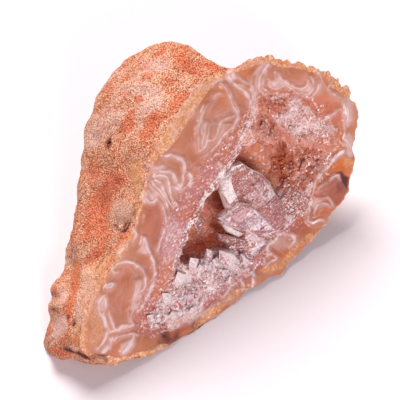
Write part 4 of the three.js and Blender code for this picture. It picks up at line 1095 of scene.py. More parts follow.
def crust_piece(materials):
    turns, zones, steps, triangles = spread(CRUST_RINGS)
    sections = section_at(turns)
    slope, wall, back = (zones == zone for zone in (SLOPE, WALL, BACK))
    start = face_points(sections, np.full(len(turns), 2.0))
    on_slope = start + (sections[:, BRINK] - start) * steps[:, None]
    points = np.where(slope[:, None], on_slope, hollow_points(sections, steps))
    behind = pushed(pocket_points(sections, steps), -SEAT_GAP, -SEAT_GAP)
    points = np.where(back[:, None], behind, points)
    points[0] = POCKET_FLOOR + [0, 0, SEAT_GAP]
    points[-1] = HOLLOW_FLOOR

    normals = normals_of(points, triangles)
    level = in_ellipse(points, BROKEN_BAND)
    low = in_ellipse(points, DRUSE_LOW)
    inner = np.where(slope, ease_between(steps, 0, 0.12), 1)
    ragged = slope * ease_between(steps, 0.6, 1) + wall * (1 - ease_between(steps, 0, 0.3))
    shake(points, RAGGED_BRINK, ragged, axes=(1, 1))
    coarse, coarse_pick, coarse_gap = facets(points, *COARSE)
    middle, middle_pick, middle_gap = facets(points, *MIDDLE)
    fine, fine_pick, _ = facets(points, *FINE)
    sunk = ease_between(-points[:, 2], SUNK_FROM, SUNK_TO)
    lift = COARSE_HEIGHT * coarse + MIDDLE_HEIGHT * (1 - 0.4 * sunk) * middle - BED_DROP
    lift *= 1 - LEVEL_CALM * level
    lift += FINE_HEIGHT * (1 - 0.5 * sunk) * (fine - 0.4)
    lift += DRUSE_HEIGHT * low * (coarse - 0.4) + layered(points, BED_SWELLS)
    lift += LEVEL_HEIGHT * level * (middle - 0.4)
    lift = np.where(back, 0, lift * inner)
    points = pushed_outline(points + normals * lift[:, None])

    # glass: paler and darker faces, painted light and shade; crease: bright lines between faces,
    # painted highlights
    glass = 0.45 * coarse_pick + 0.35 * middle_pick + 0.2 * fine_pick
    attributes = painted(points)[0] | {
        "depth": np.where(slope, 2 + steps, np.where(wall, 3 + steps, POCKET_DEPTH)),
        "glass": 0.5 + (glass - 0.5) * (1 - 0.7 * level) * inner,
        "crease": np.minimum(2 * coarse_gap, middle_gap) + 0.5 * level + 1 - inner}
    bed = make_piece("quartz_bed", points, triangles, materials, None, attributes, BED_CREASE)
    free = ~back[triangles].any(1)
    return bed, points, triangles[free]


# ---------------------------------------------------------------- single crystals
class Solids:
    """Collects small closed solids into one mesh, with a rim and a shade at each point: the rim
    marks edges for painted highlights, the shade sets how pale each crystal and each face is, the
    faces' differences being painted light and shade.
    """

    def __init__(self):
        self.points, self.triangles, self.rims, self.shades, self.count = [], [], [], [], 0

    def add(self, points, triangles, rims, shades):
        self.points.append(points)
        self.triangles.append(triangles + self.count)
        self.rims.append(rims)
        self.shades.append(shades)
        self.count += len(points)

    def piece(self, name, material):
        points = np.concatenate(self.points)
        attributes = painted(points)[0]
        attributes |= {"rim": np.concatenate(self.rims), "shade": np.concatenate(self.shades)}
        return make_piece(name, points, np.concatenate(self.triangles), [material], None,
                          attributes, crease=0)


def frame_along(way):
    way = way / np.linalg.norm(way)
    side = np.cross(way, [0.0, 0.0, 1.0] if abs(way[2]) < 0.9 else [1.0, 0.0, 0.0])
    side /= np.linalg.norm(side)
    return side, np.cross(way, side), way


def finer(points, triangles, values):
    """Each triangle cut into four; values at the points follow."""
    table = np.column_stack([points, values])
    a, b, c = (table[triangles[:, k]] for k in range(3))
    ab, bc, ca = (a + b) / 2, (b + c) / 2, (c + a) / 2
    quarters = (a, ab, ca), (ab, b, bc), (ca, bc, c), (ab, bc, ca)
    flat = np.concatenate([np.stack(three, 1) for three in quarters]).reshape(-1, table.shape[1])
    _, first, index = np.unique(np.round(flat[:, :3], 5), axis=0, return_index=True,
                                return_inverse=True)
    kept = flat[first]
    return kept[:, :3], index.reshape(-1, 3), kept[:, 3:]


SIDES = 6
# Points of a crystal: foot, foot ring, shoulder ring, apex, middles of its sides and ends
FOOT_RING, SHOULDER_RING, APEX, SIDE_MIDDLES, END_MIDDLES = 1, 7, 13, 14, 20


def hexagonal():
    """Triangles of a crystal."""
    triangles = []
    for k in range(SIDES):
        n = (k + 1) % SIDES
        low, low_next = FOOT_RING + k, FOOT_RING + n
        high, high_next = SHOULDER_RING + k, SHOULDER_RING + n
        side, end = SIDE_MIDDLES + k, END_MIDDLES + k
        triangles += [(0, low_next, low), (low, low_next, side), (low_next, high_next, side),
                      (high_next, high, side), (high, low, side), (high, high_next, end),
                      (high_next, APEX, end), (APEX, high, end)]
    return np.array(triangles)


HEX_TRIANGLES = hexagonal()
# 1 on the edges and the point of a crystal, where painted highlights go
HEX_RIMS = [0] + [1] * APEX + [0] * 2 * SIDES
GIRTH_SPREAD = 0.12
FOOT_GIRTH = 0.82
END_SLANT, SLANT_SPREAD = 1.7, 0.5
LEAST_SHAFT = 0.25  # of the length
APEX_SHIFT = 0.22
FACE_SPREAD = 1.5
CRYSTAL_WEAR = [(0.07, 0.9, 400), (0.03, 0.4, 410)]


def add_crystal(solids, foot, tip, radius, roll, flat, shade, chance, cuts):
    """A six-sided crystal with a lopsided pointed end; a cut one is also a little worn."""
    side, up, way = frame_along(tip - foot)
    length = np.linalg.norm(tip - foot)
    rng = np.random.default_rng(chance)
    draws = rng.uniform(-1, 1, 9)
    angles = roll + np.arange(SIDES) * math.pi / 3
    ring = np.outer(np.cos(angles), side) + flat * np.outer(np.sin(angles), up)
    ring *= radius * (1 + GIRTH_SPREAD * draws[:6])[:, None]
    slant = END_SLANT + SLANT_SPREAD * np.cos(3 * (angles - roll) + draws[6])
    shoulder = np.maximum(length - radius * slant, LEAST_SHAFT * length)
    top = foot + ring + np.outer(shoulder, way)
    apex = tip + APEX_SHIFT * radius * (draws[7] * side + draws[8] * up)
    low = foot + FOOT_GIRTH * ring
    sides = (low + np.roll(low, -1, 0) + top + np.roll(top, -1, 0)) / 4
    ends = (top + np.roll(top, -1, 0) + apex) / 3
    # each face a little paler or darker: painted light and shade
    faces = shade + FACE_SPREAD * rng.uniform(-0.5, 0.5, 2 * SIDES)
    shades = np.concatenate([np.full(SIDE_MIDDLES, shade), faces])
    points, triangles = np.vstack([[foot], low, top, [apex], sides, ends]), HEX_TRIANGLES
    values = np.column_stack([HEX_RIMS, shades])
    for _ in range(cuts):
        points, triangles, values = finer(points, triangles, values)
    if cuts:
        shake(points, CRYSTAL_WEAR)
    solids.add(points, triangles, *values.T)


BROAD_FACES, SMALL_FACES = 3.4, 1.2  # size of the faces on a slab, mm
SMALL_SEED = 10  # after the broad ones
SLAB_TILT, SLAB_CROWN = 1.6, 0.3
BEVEL_BLEND, RIM_BLEND = 0.15, 0.1  # inwards from the bevel, as a share of the way in
LAST_RING = 0.04


def add_slab(solids, seed, outline, ridge, slopes, level, thick, bevel, hackle, shade, mesh):
    """A tabular crystal: two broad faces that meet along a ridge, bevelled edges, flat back."""
    corners = np.array(outline, float)
    closed = np.vstack([corners, corners[:1]])
    spokes, rows = mesh
    gaps = np.linalg.norm(np.diff(closed, axis=0), axis=1)
    length = np.concatenate([[0], np.cumsum(gaps)])
    at = np.arange(spokes) * length[-1] / spokes
    rim = np.column_stack([np.interp(at, length, closed[:, axis]) for axis in (0, 1)])
    rim = np.column_stack([rim, np.zeros(spokes)])
    middle = np.append(corners.mean(0), 0)
    start, end = np.array(ridge, float)
    along = (end - start) / np.linalg.norm(end - start)
    left_slope, right_slope, end_slope = slopes
    made = []

    def ring_at(part, drop=0):
        ring = middle + (rim - middle) * part
        off = ring[:, :2] - start
        side = off[:, 1] * along[0] - off[:, 0] * along[1]
        fall = np.where(side > 0, left_slope * side, -right_slope * side)
        ring[:, 2] = level - fall - end_slope * (off @ along) - drop
        return ring

    def lay(ring, rims, shades):
        made.append((ring, np.broadcast_to(rims, len(ring)), np.broadcast_to(shades, len(ring))))

    lay(middle[None] + [0, 0, level - thick - 0.1], 0, shade)
    for part, share in [(0.5, 1), (1 - bevel, 1), (1, 0.6), (1, 0.25)]:
        lay(ring_at(part, share * thick), 0, shade)
    for part in np.linspace(1 - bevel, LAST_RING, rows):
        ring = ring_at(part)
        flat = ring * [1, 1, 0]
        broad, broad_pick, broad_gap = facets(flat, BROAD_FACES, seed, SLAB_TILT, SLAB_CROWN)
        small, small_pick, _ = facets(flat, SMALL_FACES, seed + SMALL_SEED, SLAB_TILT, SLAB_CROWN)
        relief = hackle * (3 * broad + small - 2)
        ring[:, 2] += relief * ease_between(1 - part, bevel, bevel + BEVEL_BLEND)
        edge = 1 - ease_between(1 - part, bevel, bevel + RIM_BLEND)
        # the rim marks the bevel and the creases between faces for painted highlights; each face
        # gets a paler or darker shade, painted light and shade
        lay(ring, np.maximum(edge, 0.8 - 8 * broad_gap),
            shade + 0.5 * (broad_pick - 0.5) + 0.45 * (small_pick - 0.5))
    lay(np.array([[*middle[:2], ring[:, 2].mean()]]), 0, shade)
    rings, rims, shades = zip(*made)
    solids.add(np.vstack(rings), joined([len(ring) for ring in rings]), np.concatenate(rims),
               np.concatenate(shades))


GREAT_SLABS = [
    # the great crystal across the hollow
    dict(outline=[(7.9, 2.1), (8.6, 0.1), (9.9, -2.4), (10.3, -4.7), (10.2, -6.9), (10.3, -9.5),
            (10, -12.1), (8.9, -13.2), (6.6, -13.2), (3.7, -11.8), (2, -8.4), (2.6, -4.4),
            (3.6, -0.3), (4.4, 1.8), (5, 2.2), (6.4, 2.6)],
        ridge=[(7.9, 2), (7.3, -9)], slopes=(0.16, 0.3, 0.02), level=-0.5,
        thick=2.2, bevel=0.035, hackle=0.3, shade=0.48, mesh=(260, 60)),
    # its pale blade along the left side
    dict(outline=[(5.6, 2.2), (4.4, 2.2), (3.1, 1.9), (2.3, 0.1), (1.7, -3.2), (2.9, -3.3),
            (4.1, -3.5), (4.3, -1.2), (4.7, 1)],
        ridge=[(3.6, 2), (2.9, -3.3)], slopes=(0.1, 0.3, 0.05), level=-0.55,
        thick=1.2, bevel=0.06, hackle=0.15, shade=0.75, mesh=(160, 30)),
    # the bright rhomb in front of it
    dict(outline=[under(x, y)[:2] for x, y in (
            (240, 203), (229, 212), (221, 220), (230, 227), (241, 232), (256, 232), (278, 231),
            (269, 221), (259, 211), (250, 204))],
        ridge=[(3.1, -3), (5.6, -9.6)], slopes=(0.22, 0.2, 0.03), level=0.1,
        thick=1.6, bevel=0.045, hackle=0.55, shade=0.62, mesh=(220, 46)),
    # narrow ledge beneath the rhomb
    dict(outline=[(-0.5, -3.9), (0.4, -4.2), (0.9, -6.9), (2.1, -9.2), (0.9, -9), (-0.3, -6.7)],
        ridge=[(0, -4), (1.4, -9)], slopes=(0.3, 0.3, 0), level=-1.3,
        thick=1, bevel=0.15, hackle=0.08, shade=0.5, mesh=(96, 20)),
    # mauve slab below
    dict(outline=[(-1.5, -5.9), (0.5, -8.3), (2.4, -11.6), (0.8, -12.1), (-1, -9.6), (-2, -7.3)],
        ridge=[(-1.2, -6.2), (1.6, -11.8)], slopes=(0.1, 0.25, 0), level=-1.9,
        thick=1.4, bevel=0.1, hackle=0.1, shade=0.2, mesh=(96, 20)),
    # thin shard under the left lip
    dict(outline=[(-3.1, 0.4), (-2.5, -0.7), (-2.2, -2.1), (-3.2, -2.2), (-3.6, -3.5),
            (-4.5, -2.2), (-4.3, 0.2)],
        ridge=[(-3.4, 0.4), (-3.6, -3)], slopes=(0.2, 0.1, 0), level=-1.1,
        thick=0.8, bevel=0.15, hackle=0.06, shade=0.45, mesh=(96, 20)),
]
SLAB_SEED, SINGLE_SEED, DRUSE_SEED = 200, 300, 7
# Crystals that stand alone: foot and tip in view steps, radius (mm), shade
SINGLE_CRYSTALS = [
    (246, 276, 219, 251, 1.7, 0.7), (197, 281, 191, 256, 1.1, 0.9), (214, 284, 207, 249, 0.9, 0.5),
    (250, 280, 240, 254, 1.1, 0.55), (228, 284, 214, 258, 0.8, 0.9),
    (206, 286, 199, 264, 0.7, 0.75), (186, 300, 196, 282, 0.7, 0.9),
    (222, 294, 230, 276, 0.7, 0.8), (180, 312, 186, 298, 0.7, 0.7), (215, 294, 212, 262, 1, 0.6),
    (243, 284, 232, 263, 1, 0.7), (184, 294, 178, 270, 1.3, 1), (173, 308, 163, 294, 1.1, 0.8),
    (238, 284, 252, 270, 0.8, 0.8), (192, 302, 204, 290, 1, 0.7), (176, 324, 171, 312, 1.1, 1),
    (196, 318, 190, 308, 0.9, 0.9), (158, 322, 148, 316, 0.7, 0.8), (226, 286, 222, 270, 0.9, 0.6),
    (206, 300, 196, 292, 0.8, 0.9), (292, 130, 287, 110, 0.5, 0.9),
    (298, 132, 296, 104, 0.6, 0.85), (303, 124, 301, 99, 0.45, 0.95),
    (287, 126, 279, 114, 0.4, 0.9), (306, 130, 309, 111, 0.45, 0.8),
    (296, 138, 290, 126, 0.5, 0.7), (268, 144, 263, 121, 0.8, 0.3),
    (276, 146, 275, 124, 0.7, 0.35), (318, 138, 322, 124, 0.4, 0.9),
    (328, 138, 333, 126, 0.35, 0.8), (300, 172, 306, 160, 0.5, 0.6),
    (310, 178, 316, 166, 0.45, 0.7),
]
ICY_FROM = 255  # the icy cluster up on the right stands from here, view steps
ICY_HEIGHTS, MASS_HEIGHTS = (-2.8, -1.1), (-3.6, 0)  # of foot and tip, mm
SINGLE_ROLL, SINGLE_FLAT, SINGLE_CUTS = 0.4, 0.8, 3
# Where small crystals stand: middle, reach along and across, turn (view steps, degrees), how
# many, smallest and largest radius (mm), and how pale they are
DRUSE_FIELDS = [
    (186, 292, 58, 20, -38, 460, 0.12, 0.45, 0.75), (230, 270, 24, 14, -30, 180, 0.12, 0.45, 0.7),
    (148, 320, 12, 9, -20, 140, 0.1, 0.35, 0.8), (174, 244, 10, 24, 10, 120, 0.08, 0.22, 0.7),
    (291, 116, 14, 18, 20, 40, 0.1, 0.24, 0.8), (318, 132, 20, 8, -15, 60, 0.1, 0.24, 0.75),
    (301, 146, 8, 12, 0, 24, 0.1, 0.24, 0.8), (308, 166, 18, 18, 0, 120, 0.1, 0.34, 0.5),
    (284, 168, 12, 14, 0, 90, 0.12, 0.36, 0.3), (296, 200, 16, 16, 0, 120, 0.12, 0.32, 0.5),
    (266, 126, 10, 12, 0, 50, 0.14, 0.4, 0.5), (200, 150, 50, 10, -50, 120, 0.08, 0.2, 0.6),
    (275, 104, 12, 8, 0, 60, 0.1, 0.3, 0.1),
]
FIELD_EDGE = 0.2
DRUSE_LEAN = 0.6
DRUSE_RISE = np.array([0, 0, 0.2])
SMALL_ONES = 2.2  # power that makes most of them small


def great_crystals(material):
    solids = Solids()
    for index, slab in enumerate(GREAT_SLABS):
        add_slab(solids, SLAB_SEED + 10 * index, **slab)
    for index, (x, y, tip_x, tip_y, radius, shade) in enumerate(SINGLE_CRYSTALS):
        low, high = ICY_HEIGHTS if x > ICY_FROM else MASS_HEIGHTS
        add_crystal(solids, under(x, y, low), under(tip_x, tip_y, high), radius,
                    SINGLE_ROLL * index, SINGLE_FLAT, shade, SINGLE_SEED + index, SINGLE_CUTS)
    return solids.piece("great_crystals", material)


def druse_crystals(bed_points, triangles, material):
    """Small crystals scattered over the free surface of the bed."""
    a, b, c = (bed_points[triangles[:, k]] for k in range(3))
    cross = np.cross(b - a, c - a)
    area = np.linalg.norm(cross, axis=1)
    ways = cross / np.maximum(area, 1e-9)[:, None]
    centres = (a + b + c) / 3
    rng = np.random.default_rng(DRUSE_SEED)
    solids = Solids()
    view = seen(centres)
    for *ellipse, count, small, large, paleness in DRUSE_FIELDS:
        weight = area * in_ellipse(view, ellipse, FIELD_EDGE)
        picks = rng.choice(len(triangles), count, p=weight / weight.sum())
        draws = rng.uniform(0, 1, (count, 5))
        leans = rng.normal(0, DRUSE_LEAN, (count, 3))
        for pick, draw, lean in zip(picks, draws, leans):
            radius = small + (large - small) * draw[0] ** SMALL_ONES
            way = 0.8 * ways[pick] + DRUSE_RISE + lean
            way /= np.linalg.norm(way)
            length = radius * (3.0 + 3.0 * draw[1])
            foot = centres[pick] - way * length * 0.5
            shade = min(1, max(0, paleness - 0.1 + 1.1 * (draw[4] - 0.5)))
            add_crystal(solids, foot, foot + way * length, radius, 6 * draw[2],
                        0.75 + 0.25 * draw[3], shade, int(1e6 * draw[1]), cuts=0)
    return solids.piece("druse_crystals", material)


# ---------------------------------------------------------------- shader building
def tone(*shades):
    """An sRGB colour (0 to 255) as linear light."""
    shades = [shade / 255 for shade in shades]
    return (*(s / 12.92 if s <= 0.04045 else ((s + 0.055) / 1.055) ** 2.4 for s in shades), 1)


class Shader:
    """Adds nodes to one node tree and links them."""

    def __init__(self, tree):
        self.tree = tree

    def feed(self, sockets, values):
        for key, value in values.items():
            if isinstance(value, bpy.types.NodeSocket):
                self.tree.links.new(value, sockets[key])
            else:
                sockets[key].default_value = value

    def add(self, kind, sockets=(), **settings):
        """A node's outputs, once its sockets and settings are in place."""
        made = self.tree.nodes.new("ShaderNode" + kind)
        for key, value in settings.items():
            setattr(made, key, value)
        self.feed(made.inputs, dict(sockets))
        return made.outputs

    def group(self, tree, sockets):
        return self.add("Group", sockets, node_tree=tree)

    def attribute(self, name, output="Fac"):
        return self.add("Attribute", attribute_name=name)[output]

    def math(self, operation, first, second, clamp=False):
        return self.add("Math", {0: first, 1: second}, operation=operation, use_clamp=clamp)[0]

    def plus(self, first, second):
        return self.math("ADD", first, second)

    def minus(self, first, second):
        return self.math("SUBTRACT", first, second)

    def times(self, first, second, clamp=False):
        return self.math("MULTIPLY", first, second, clamp)

    def larger(self, first, second):
        return self.math("MAXIMUM", first, second)

    def vector(self, operation, first, second):
        return self.add("VectorMath", {0: first, 1: second}, operation=operation)[0]

    def mix(self, share, first, second):
        return self.add("Mix", {0: share, 6: first, 7: second}, data_type="RGBA")[2]

    def coats(self, colour, *coats):
        """Colours laid over a colour, each as far as its share says."""
        for share, tint in coats:
            colour = self.mix(share, colour, tint)
        return colour

    def step(self, value, low, high, bottom=0, top=1):
        """A smooth step of a value between two limits."""
        return self.add("MapRange", {0: value, 1: low, 2: high, 3: bottom, 4: top},
                        interpolation_type="SMOOTHSTEP")[0]

    def noise(self, place, scale, detail, roughness=0.5, output="Fac"):
        sockets = {"Vector": place, "Scale": scale, "Detail": detail, "Roughness": roughness}
        return self.add("TexNoise", sockets)[output]

    def wander(self, reach, place, scale, detail, roughness=0.5):
        """Noise to either side of 0."""
        return self.times(self.minus(self.noise(place, scale, detail, roughness), 0.5), reach)

    def bump(self, height, distance, strength):
        return self.add("Bump", {"Height": height, "Distance": distance, "Strength": strength})[0]

    def surface(self, sockets):
        self.feed(self.tree.nodes["Principled BSDF"].inputs, sockets)


def new_group(name, inputs, outputs):
    """A node group, with what it is given and the sockets that it gives out."""
    tree = bpy.data.node_groups.new(name, "ShaderNodeTree")
    for way, sockets in (("INPUT", inputs), ("OUTPUT", outputs)):
        for key, kind in sockets.items():
            tree.interface.new_socket(key, in_out=way, socket_type="NodeSocket" + kind)
    given = tree.nodes.new("NodeGroupInput").outputs
    return tree, Shader(tree), given, tree.nodes.new("NodeGroupOutput").inputs


# ---------------------------------------------------------------- colours
PALE_ROSE = tone(212, 154, 126)
ORANGE_RIND = tone(202, 112, 68)
SANDY_ORANGE = tone(222, 152, 98)
SANDY_ROSE = tone(222, 166, 136)
BEIGE = tone(200, 150, 122)
RED_OCHRE = tone(208, 106, 68)
DEEP_OCHRE = tone(178, 70, 44)
DARK_PORE = tone(128, 50, 28)
SAND_WHITE = tone(238, 202, 170)
PEACH = tone(194, 126, 94)
PEACH_DEEP = tone(180, 106, 72)
LILAC_WHITE = tone(208, 164, 154)
WHITE = tone(244, 222, 220)
MILK = tone(240, 216, 214)
# white of painted highlights: glints and bright creases on the quartz
GLINT_WHITE = tone(255, 248, 248)
GOLD = tone(226, 162, 108)
ORANGE = tone(214, 116, 62)
ROSE_BROWN = tone(184, 98, 78)
# dark stain and the eye's dark core, and painted shade in gaps, pits and along the foot
DARK_BROWN = tone(84, 18, 26)
VIOLET = tone(186, 138, 176)
QUARTZ_ROSE = tone(186, 118, 114)
QUARTZ_SALMON = tone(192, 112, 86)
QUARTZ_PEACH = tone(188, 108, 72)
QUARTZ_LILAC = tone(210, 166, 172)
QUARTZ_ICE = tone(255, 246, 244)
QUARTZ_RED = tone(196, 104, 82)
# QUARTZ_SHADE, AMBER_SHADE and AMBER_LIGHT are painted shade and painted light for crystal faces
QUARTZ_SHADE = tone(156, 88, 74)
AMBER = tone(220, 130, 84)
# amber of the hollow's bottom, lighter than AMBER: painted light where the hollow lies in shade
AMBER_DEEP_PAINTED_LIGHT = tone(252, 160, 134)
AMBER_SHADE = tone(214, 120, 94)
AMBER_LIGHT = tone(230, 162, 124)
FLOOR_LIGHT, FLOOR_DARK = tone(226, 220, 224), tone(223, 217, 221)
# mask, its colour and its strongest share
WASHES = [("Amber", AMBER, 1), ("Deep", ROSE_BROWN, 1), ("Warm", ORANGE, 0.95),
          ("Gold", GOLD, 0.9), ("Violet", VIOLET, 0.8), ("Pale", MILK, 0.9),
          ("Dark", DARK_BROWN, 0.95)]


def build_drift():
    """Place shifted about by slow noise, so that outlines wander."""
    tree, shader, given, out = new_group(
        "Drift", {"Place": "Vector", "Scale": "Float", "Distance": "Float"}, {"Place": "Vector"})
    colour = shader.noise(given["Place"], given["Scale"], 1.5, output="Color")
    centred = shader.vector("SUBTRACT", colour, (0.5, 0.5, 0.5))
    moved = shader.add("VectorMath", {0: centred, "Scale": given["Distance"]},
                       operation="SCALE")[0]
    shader.feed(out, {"Place": shader.vector("ADD", given["Place"], moved)})
    return tree


def build_grain():
    """Sandy grain: pale specks, dark pores and the height of both."""
    tree, shader, given, out = new_group(
        "Sandy Grain", {"Place": "Vector", "Scale": "Float"},
        {"Pale": "Float", "Dark": "Float", "Height": "Float"})
    fine = shader.noise(given["Place"], given["Scale"], 1, 0.7)
    wide = shader.noise(given["Place"], shader.times(given["Scale"], 0.31), 2, 0.6)
    mixed = shader.plus(shader.times(fine, 0.75), shader.times(wide, 0.25))
    shader.feed(out, {"Pale": shader.step(mixed, 0.52, 0.62),
                      "Dark": shader.step(mixed, 0.47, 0.36), "Height": mixed})
    return tree


def build_glints():
    """Scattered specks: small dots of 1 on 0, where painted highlights of glint go."""
    tree, shader, given, out = new_group(
        "Glints", {"Place": "Vector", "Scale": "Float", "Share": "Float"}, {"Mask": "Float"})
    cells = shader.add("TexVoronoi", {"Vector": given["Place"], "Scale": given["Scale"]})
    patchy = shader.step(shader.noise(given["Place"], 0.45, 2), 0.42, 0.6, 0.2, 1.5)
    chance = shader.add("SeparateXYZ", {0: cells["Color"]})[0]
    picked = shader.math("LESS_THAN", chance, shader.times(given["Share"], patchy))
    dot = shader.step(cells["Distance"], 0.36, 0.16)
    shader.feed(out, {"Mask": shader.times(picked, dot)})
    return tree


def build_washes():
    """The masks of colour laid over a colour, one after another."""
    tree, shader, given, out = new_group(
        "Colour Washes",
        {"Colour": "Color", "Strength": "Float", "Line": "Float", "Edge": "Float"}
        | {key: "Float" for key, _, _ in WASHES}, {"Colour": "Color", "Line": "Float"})
    strength = given["Strength"]
    washes = [(shader.times(shader.times(given[key], most), strength), tint)
              for key, tint, most in WASHES]
    colour = shader.coats(given["Colour"], *washes)
    # pale lines: bands of the agate, and on the crystals painted highlights
    power = shader.times(given["Line"], strength, clamp=True)
    soft = shader.times(shader.step(given["Edge"], 0.45, -0.02), power)
    crisp = shader.times(shader.times(shader.step(given["Edge"], 0.05, -0.08), power), 0.65)
    colour = shader.coats(colour, (shader.times(soft, 0.75), LILAC_WHITE), (crisp, WHITE))
    shader.feed(out, {"Line": crisp, "Colour": colour})
    return tree


DRIFT, GRAIN, GLINT, WASH = build_drift(), build_grain(), build_glints(), build_washes()


def build_quartz():
    """Colour of the quartz: rose and salmon above, amber down in the hollow, lighter again at its
    bottom as painted light where the hollow lies in shade.
    """
    tree, shader, given, out = new_group("Quartz Colour", {"Place": "Vector"}, {"Colour": "Color"})
    place = given["Place"]
    drifted = shader.group(DRIFT, {"Place": place, "Scale": 0.5, "Distance": 1.6})[0]
    slow = shader.step(shader.noise(drifted, 0.3, 3, 0.6), 0.35, 0.65)
    veil = shader.step(shader.noise(place, 0.9, 3, 0.7), 0.55, 0.75, 0, 0.38)
    p, _, n = shader.add("SeparateXYZ", {0: place})
    shader.feed(out, {"Colour": shader.coats(
        QUARTZ_ROSE, (slow, QUARTZ_SALMON), (veil, QUARTZ_ICE),
        (shader.step(p, 2, 12, 0, 0.8), QUARTZ_PEACH), (shader.step(n, -3.2, -4.6), AMBER),
        (shader.step(n, -5.5, -8.5), AMBER_DEEP_PAINTED_LIGHT))})
    return tree


def build_sugar():
    """Pale specks that sparkle and darker ones over a colour: the white dots of glint among them
    are painted highlights.
    """
    tree, shader, given, out = new_group(
        "Sugary Specks", {"Place": "Vector", "Colour": "Color", "Strength": "Float"},
        {"Colour": "Color", "Height": "Float"})
    grain = shader.group(GRAIN, {"Place": given["Place"], "Scale": 2.2})
    glints = shader.group(GLINT, {"Place": given["Place"], "Scale": 1.6, "Share": 0.15})[0]
    colour = shader.coats(
        given["Colour"], (shader.times(grain["Pale"], given["Strength"]), QUARTZ_ICE),
        (shader.times(grain["Dark"], 0.45), QUARTZ_RED), (glints, GLINT_WHITE))
    shader.feed(out, {"Colour": colour, "Height": grain["Height"]})
    return tree


def build_faces():
    """A colour broken into paler and darker crystal faces, painted light and shade, with painted
    highlights along the creases between.
    """
    tree, shader, given, out = new_group(
        "Crystal Faces",
        {"Place": "Vector", "Colour": "Color", "Share": "Float", "Creases": "Float",
         "Scale": "Float", "Warmth": "Float"}, {"Colour": "Color"})
    place = given["Place"]
    level = shader.add("SeparateXYZ", {0: place})[2]
    open_part = shader.step(level, -5, -2.6)
    icy = shader.times(open_part, shader.minus(1, given["Warmth"]))
    # dark and pale: painted shade and painted light for faces turned from the light or catching
    # it, in amber deep in the hollow; the flecks use them too
    dark = shader.mix(open_part, AMBER_SHADE, QUARTZ_SHADE)
    pale = shader.mix(icy, AMBER_LIGHT, QUARTZ_ICE)
    drawn_out = shader.vector("MULTIPLY", place, (1, 1.9, 1))
    face = shader.plus(given["Share"], shader.wander(1.3, drawn_out, given["Scale"], 4, 0.75))
    flecks = shader.noise(shader.vector("MULTIPLY", place, (1, 2.4, 1.6)), 2.4, 2, 0.6)
    # lit: where the creases get painted highlights
    lit = shader.step(shader.noise(place, 0.8, 2), 0.42, 0.52, 0, 0.9)
    shader.feed(out, {"Colour": shader.coats(
        given["Colour"], (shader.step(face, 0.5, 0.22, 0, 0.7), dark),
        (shader.step(face, 0.5, 0.7, 0, 0.95), pale),
        (shader.step(flecks, 0.44, 0.32, 0, 0.75), dark),
        (shader.step(flecks, 0.56, 0.66, 0, 0.95), pale),
        (shader.times(lit, shader.times(icy, given["Creases"])), GLINT_WHITE))})
    return tree


QUARTZ, SUGAR, FACES = build_quartz(), build_sugar(), build_faces()


# ---------------------------------------------------------------- materials
QUARTZ_IOR = 1.54
# light that spreads a little way inside the quartz
MILKY = {"Subsurface Weight": 0.25, "Subsurface Radius": (1, 0.8, 0.75),
         "Subsurface Scale": 0.3 * MM}


def washed(shader, colour, strength=1.0):
    """A colour under the piece's own masks of colour."""
    sockets = {key: shader.attribute(key.lower()) for key, _, _ in WASHES}
    sockets |= {"Line": shader.attribute("line"), "Edge": shader.attribute("edge")}
    return shader.group(WASH, sockets | {"Colour": colour, "Strength": strength})[0]


def new_material(name):
    material = bpy.data.materials.new(name)
    material.use_nodes = True
    return material, Shader(material.node_tree)


def rind_material():
    material, shader = new_material("sandy_rind")
    place = shader.attribute("place", "Vector")
    drifted = shader.group(DRIFT, {"Place": place, "Scale": 0.6, "Distance": 1.4})[0]
    grain = shader.group(GRAIN, {"Place": place, "Scale": 4.2})
    slow = shader.step(shader.noise(drifted, 0.24, 3, 0.65), 0.36, 0.64)
    patchy = shader.step(shader.noise(place, 0.7, 3, 0.7), 0.5, 0.7, 0, 0.25)
    ragged = shader.wander(1.7, place, 1.3, 3, 0.7)
    ochre = shader.plus(shader.attribute("ochre"), ragged)
    stained = shader.step(ochre, 0.1, 0.7)
    blister = shader.plus(shader.attribute("blister"), shader.times(ragged, 0.25))
    smooth = shader.step(blister, 0.4, 0.55, 0, 0.75)
    covered = shader.plus(shader.times(stained, 0.4), shader.times(smooth, 0.35))
    specks = shader.times(grain["Pale"], 1.5, clamp=True)
    pores = shader.times(grain["Dark"], 1.4, clamp=True)
    open_grain = shader.minus(0.88, shader.times(smooth, 0.7))
    colour = shader.coats(
        PALE_ROSE, (slow, ORANGE_RIND), (patchy, BEIGE), (stained, RED_OCHRE),
        (shader.step(ochre, 1, 1.6), DEEP_OCHRE), (smooth, BEIGE),
        (shader.times(specks, shader.minus(0.76, covered)), SAND_WHITE),
        (shader.times(pores, open_grain), DARK_PORE))
    shader.surface({"Base Color": washed(shader, colour), "Roughness": 0.78,
                    "Specular IOR Level": 0.3,
                    "Normal": shader.bump(grain["Height"], 0.5 * MM, 1)})
    return material


def agate_colour(shader, place):
    """Colour of the broken agate: fine bands follow its pale lines."""
    drifted = shader.group(DRIFT, {"Place": place, "Scale": 0.32, "Distance": 1.5})[0]
    slow = shader.step(shader.noise(drifted, 0.16, 2), 0.35, 0.65)
    edge = shader.attribute("edge")
    p, q, _ = shader.add("SeparateXYZ", {0: drifted})
    along = shader.add("CombineXYZ", {0: shader.times(edge, 2.2), 1: shader.times(p, 0.3),
                                      2: shader.times(q, 0.3)})[0]
    bands = shader.step(shader.noise(along, 1, 3, 0.6), 0.5, 0.72)
    bands = shader.times(bands, shader.step(edge, 3.5, 0.4, 0.12, 0.5))
    clouded = shader.step(shader.noise(drifted, 0.5, 2), 0.42, 0.6, 0.05, 0.42)
    halo = shader.times(shader.step(edge, 1.3, 0.1), clouded)
    return washed(shader, shader.coats(PEACH, (slow, PEACH_DEEP), (bands, LILAC_WHITE),
                                       (halo, LILAC_WHITE)))


